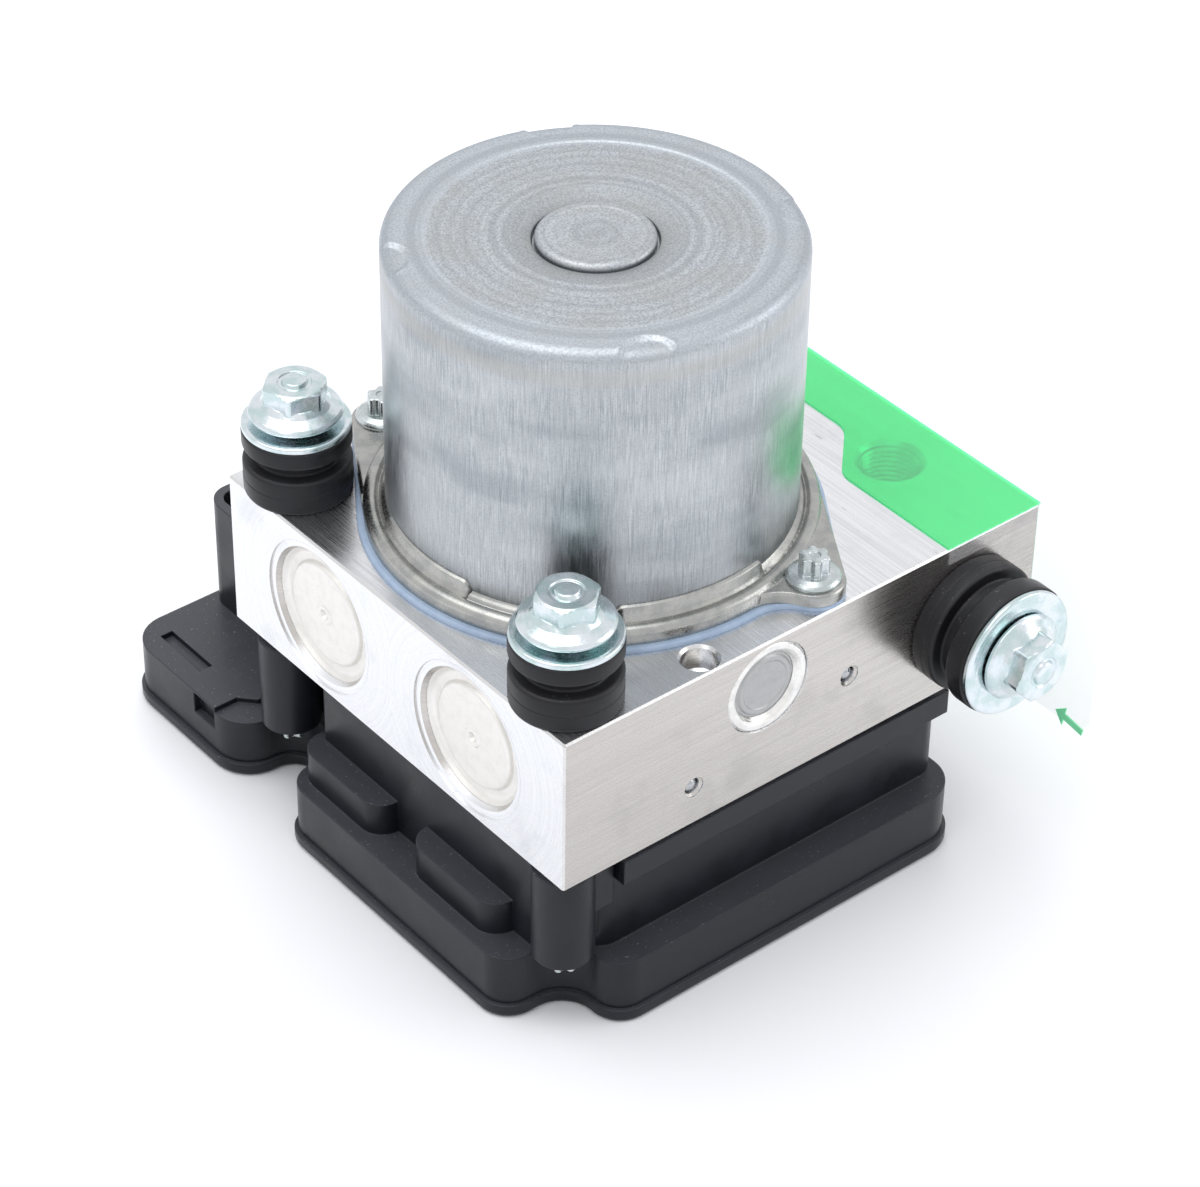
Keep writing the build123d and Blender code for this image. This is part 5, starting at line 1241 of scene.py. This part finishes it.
@dataclass
class PortFilm(SubAssembly):
    """Peel-off film: green over the metal, clear where it hangs free as a pull tab."""

    lift: float = 0.03
    arrow_y: tuple[float, float] = (-61.2, -54.5)
    arrow_z: float = 25.6
    arrow_lean: float = 10.0
    arrow_width: float = 1.3
    arrow_head: float = 2.1
    margin: float = 0.5
    thickness: float = 0.25

    def build(self) -> None:
        """Make the film a hair above the metal, cut it at the metal's edge, and add the arrow."""
        surface = packed_surface("port_film")
        low, high = self.block_low, self.block_high
        planes = ((2, high[2], 1), (0, high[0], 1), (1, low[1], -1))
        for axis, place, way in planes:
            on_metal = np.abs(surface.points[:, axis] - place) < 0.01
            surface.points[on_metal, axis] += way * self.lift
        film = make_object("port_film_piece", surface, Shading.CRISP, outwards=False)
        self.dress(film, GREEN_FILM, MODULE, "port_film")
        film.data.materials.append(CLEAR_FILM.material())
        work = bmesh.new()
        work.from_mesh(film.data)
        cuts = (
            (1, low[1] - self.lift / 2), (1, low[1] + self.margin), (2, high[2] - self.lift), (2, low[2]),
        )
        for axis, place in cuts:
            normal = [0.0, 0.0, 0.0]
            normal[axis] = 1.0
            spot = [value * place * MM for value in normal]
            whole = work.verts[:] + work.edges[:] + work.faces[:]
            bmesh.ops.bisect_plane(work, geom=whole, plane_co=spot, plane_no=normal)
        for face in work.faces:
            middle = face.calc_center_median() / MM
            beside = middle.z < high[2] - self.lift and middle.y < low[1] + self.margin
            face.material_index = int(middle.y < low[1] - self.lift / 2 or middle.z < low[2] or beside)
        work.to_mesh(film.data)
        work.free()
        self.add("film_arrow", self.arrow(), GREEN_INK)

    def arrow(self) -> Surface:
        """Arrow printed on the tab, a thin plate that points up along it."""
        tail, tip = self.arrow_y
        half, head = self.arrow_width / 2, self.arrow_head
        length = tip - tail
        flat = np.array([(0, -half), (length - head, -half), (length - head, -head), (length, 0),
                         (length - head, head), (length - head, half), (0, half)])
        lean = math.radians(self.arrow_lean)
        turn = np.array([(math.cos(lean), math.sin(lean)), (-math.sin(lean), math.cos(lean))])
        flat = flat @ turn + (tail, self.arrow_z)
        plate = plate_of(flat, self.block_high[0] - 0.01, self.block_high[0] + self.thickness + 2 * self.lift)
        return Surface(plate.points[:, [2, 0, 1]], plate.faces)


@dataclass
class InnerWorks(SubAssembly):
    """Pieces inside the module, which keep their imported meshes."""

    def build(self) -> None:
        """Give each its finish."""
        self.finish_nodes(FERRITE, "motor_magnets")
        self.finish_nodes(SHEET, "armature_core", "coil_yokes")
        self.finish_nodes(COPPER, "armature_windings", "valve_coils")
        self.finish_nodes(CONTACT, "commutator")
        self.finish_nodes(PHENOLIC, "brush_holder")
        self.finish_nodes(CARBON, "brush_1", "brush_2")
        self.finish_nodes(TIN, "motor_terminals")
        self.finish_nodes(STEEL, "motor_shaft", "rear_bearing", "front_bearing", "eccentric", "cam_ring",
                          "inlet_valves", "outlet_valves")
        for number in (1, 2):
            self.finish_nodes(WIRE, *(f"{kind}_spring_{number}" for kind in ("brush", "pump", "accumulator")))
            self.finish_nodes(STEEL, f"pump_sleeve_{number}", f"pump_piston_{number}")
            self.finish_nodes(CAP, f"accumulator_piston_{number}")
            self.finish_nodes(RUBBER, f"accumulator_ring_{number}")
        for number in range(1, 9):
            self.finish_nodes(STEEL, f"valve_armature_{number}")


@dataclass
class Studio:
    """Pale floor, soft lamps and the camera."""

    azimuth: float = -39.65
    elevation: float = 37.763
    roll: float = -0.908
    distance: float = 663.5
    lens: float = 117.3
    aim_right: float = -1.351
    aim_down: float = -14.369
    aim_height: float = 66.5
    ambient: float = 0.9
    floor_half: float = 6000.0
    sensor: float = 36.0
    sight: float = 20.0

    def build(self) -> None:
        """Make the floor, the world, the lamps and the camera."""
        self.floor()
        self.world()
        self.lamp("top_softbox", (-260, 60, 980), 900, 900, 4.2)
        self.lamp("back_softbox", (380, 620, 560), 700, 500, 2.0, False)
        self.lamp("right_softbox", (700, -560, 420), 500, 500, 1.4)
        self.camera()
        bpy.context.scene.view_settings.view_transform = "Standard"

    def floor(self) -> None:
        """Pale plastic-coated paper: a wide plane, almost white."""
        half = self.floor_half
        corner = np.array([(-half, -half, 0), (half, -half, 0), (half, half, 0), (-half, half, 0)])
        floor = make_object("studio_floor", Surface(corner, [[0, 1, 2, 3]]), outwards=False)
        paper = bpy.data.materials.new("matt_white_paper")
        paper.use_nodes = True
        connect(paper.node_tree, paper.node_tree.nodes["Principled BSDF"], {
            "Base Color": linear("F6F7FA"), "Roughness": 0.7, "Specular IOR Level": 0.2,
        })
        floor.data.materials.append(paper)
        floor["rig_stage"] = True

    def world(self) -> None:
        """Surround: white to the camera and in what mirrors it, a little dimmer as light."""
        world = bpy.data.worlds.new("studio_surround")
        world.use_nodes = True
        bpy.context.scene.world = world
        tree = world.node_tree
        tree.nodes.clear()
        rays = add_node(tree, "LightPath").outputs
        seen = add_node(tree, "Math", rays["Is Camera Ray"], rays["Is Glossy Ray"], operation="ADD")
        seen = add_node(tree, "Math", seen, rays["Is Transmission Ray"], operation="ADD")
        strength = add_node(tree, "Mix", seen, self.ambient, 1.0)
        sky = add_node(tree, "Background", linear("FDFDFF"), strength)
        add_node(tree, "OutputWorld", sky)

    def lamp(self, name: str, place: Sequence[float], width: float, depth: float, power: float,
             mirrored: bool = True) -> None:
        """Rectangular softbox aimed at the module.

        Args:
            name: lamp's name.
            place: its centre.
            width: one side.
            depth: the other side.
            power: watts.
            mirrored: whether shiny pieces mirror it.
        """
        data = bpy.data.lights.new(name, "AREA")
        data.shape = "RECTANGLE"
        data.size, data.size_y = width * MM, depth * MM
        data.energy = power
        lamp = bpy.data.objects.new(name, data)
        lamp.visible_glossy = mirrored
        lamp.location = Vector(place) * MM
        aim = Vector((0, 0, self.aim_height)) - Vector(place)
        lamp.rotation_euler = aim.to_track_quat("-Z", "Y").to_euler()
        bpy.context.scene.collection.objects.link(lamp)

    def camera(self) -> None:
        """Camera at the photograph's place.

        Its back direction comes from azimuth and elevation, its right and down directions
        are then turned by the roll, and it stands off by distance, less the aim's offsets.
        """
        a, e, roll = (math.radians(v) for v in (self.azimuth, self.elevation, self.roll))
        back = Vector((math.sin(a) * math.cos(e), -math.cos(a) * math.cos(e), math.sin(e)))
        flat_right = (-back).cross(Vector((0, 0, 1))).normalized()
        flat_down = (-back).cross(flat_right)
        right = math.cos(roll) * flat_right + math.sin(roll) * flat_down
        down = math.cos(roll) * flat_down - math.sin(roll) * flat_right
        place = back * self.distance - right * self.aim_right - down * self.aim_down
        place += Vector((0, 0, self.aim_height))
        data = bpy.data.cameras.new("studio_camera")
        data.lens = self.lens
        data.sensor_width = self.sensor
        data.clip_end = self.sight
        camera = bpy.data.objects.new("studio_camera", data)
        turn = Matrix((right, -down, back)).transposed().to_4x4()
        camera.matrix_world = Matrix.Translation(place * MM) @ turn
        bpy.context.scene.collection.objects.link(camera)
        bpy.context.scene.camera = camera


def mounts() -> Iterable[RubberMount]:
    """The three rubber mounts, at the middle of their packed rubbers."""
    for name in ("left", "front"):
        low, high = extent(f"damper_rubber_{name}")
        yield RubberMount(name=name, place=((low[0] + high[0]) / 2, (low[1] + high[1]) / 2, low[2]))
    low, high = extent("damper_rubber_side")
    yield RubberMount(
        name="side", place=((low[0] + high[0]) / 2, high[1], (low[2] + high[2]) / 2), face=Face.FRONT,
        radius=12.1, collar_r=11.85, groove=(4.9, 8.2, 12.3), rise=0.2, hex_turn=12.0,
        across=10.6,
    )


def corners() -> list[list[float]]:
    """Shown object's lowest and highest corner, as plain numbers."""
    return [[float(v) for v in corner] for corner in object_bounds()]


def main() -> None:
    """Build the module and the studio."""
    logging.basicConfig(level=logging.INFO, format="%(message)s")
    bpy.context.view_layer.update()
    for assembly in (Motor(), *mounts(), Hydraulics(), ControlUnit(), PortFilm(), InnerWorks(), Studio()):
        log.info("building %s", type(assembly).__name__)
        assembly.build()


if __name__ == "__main__":
    main()
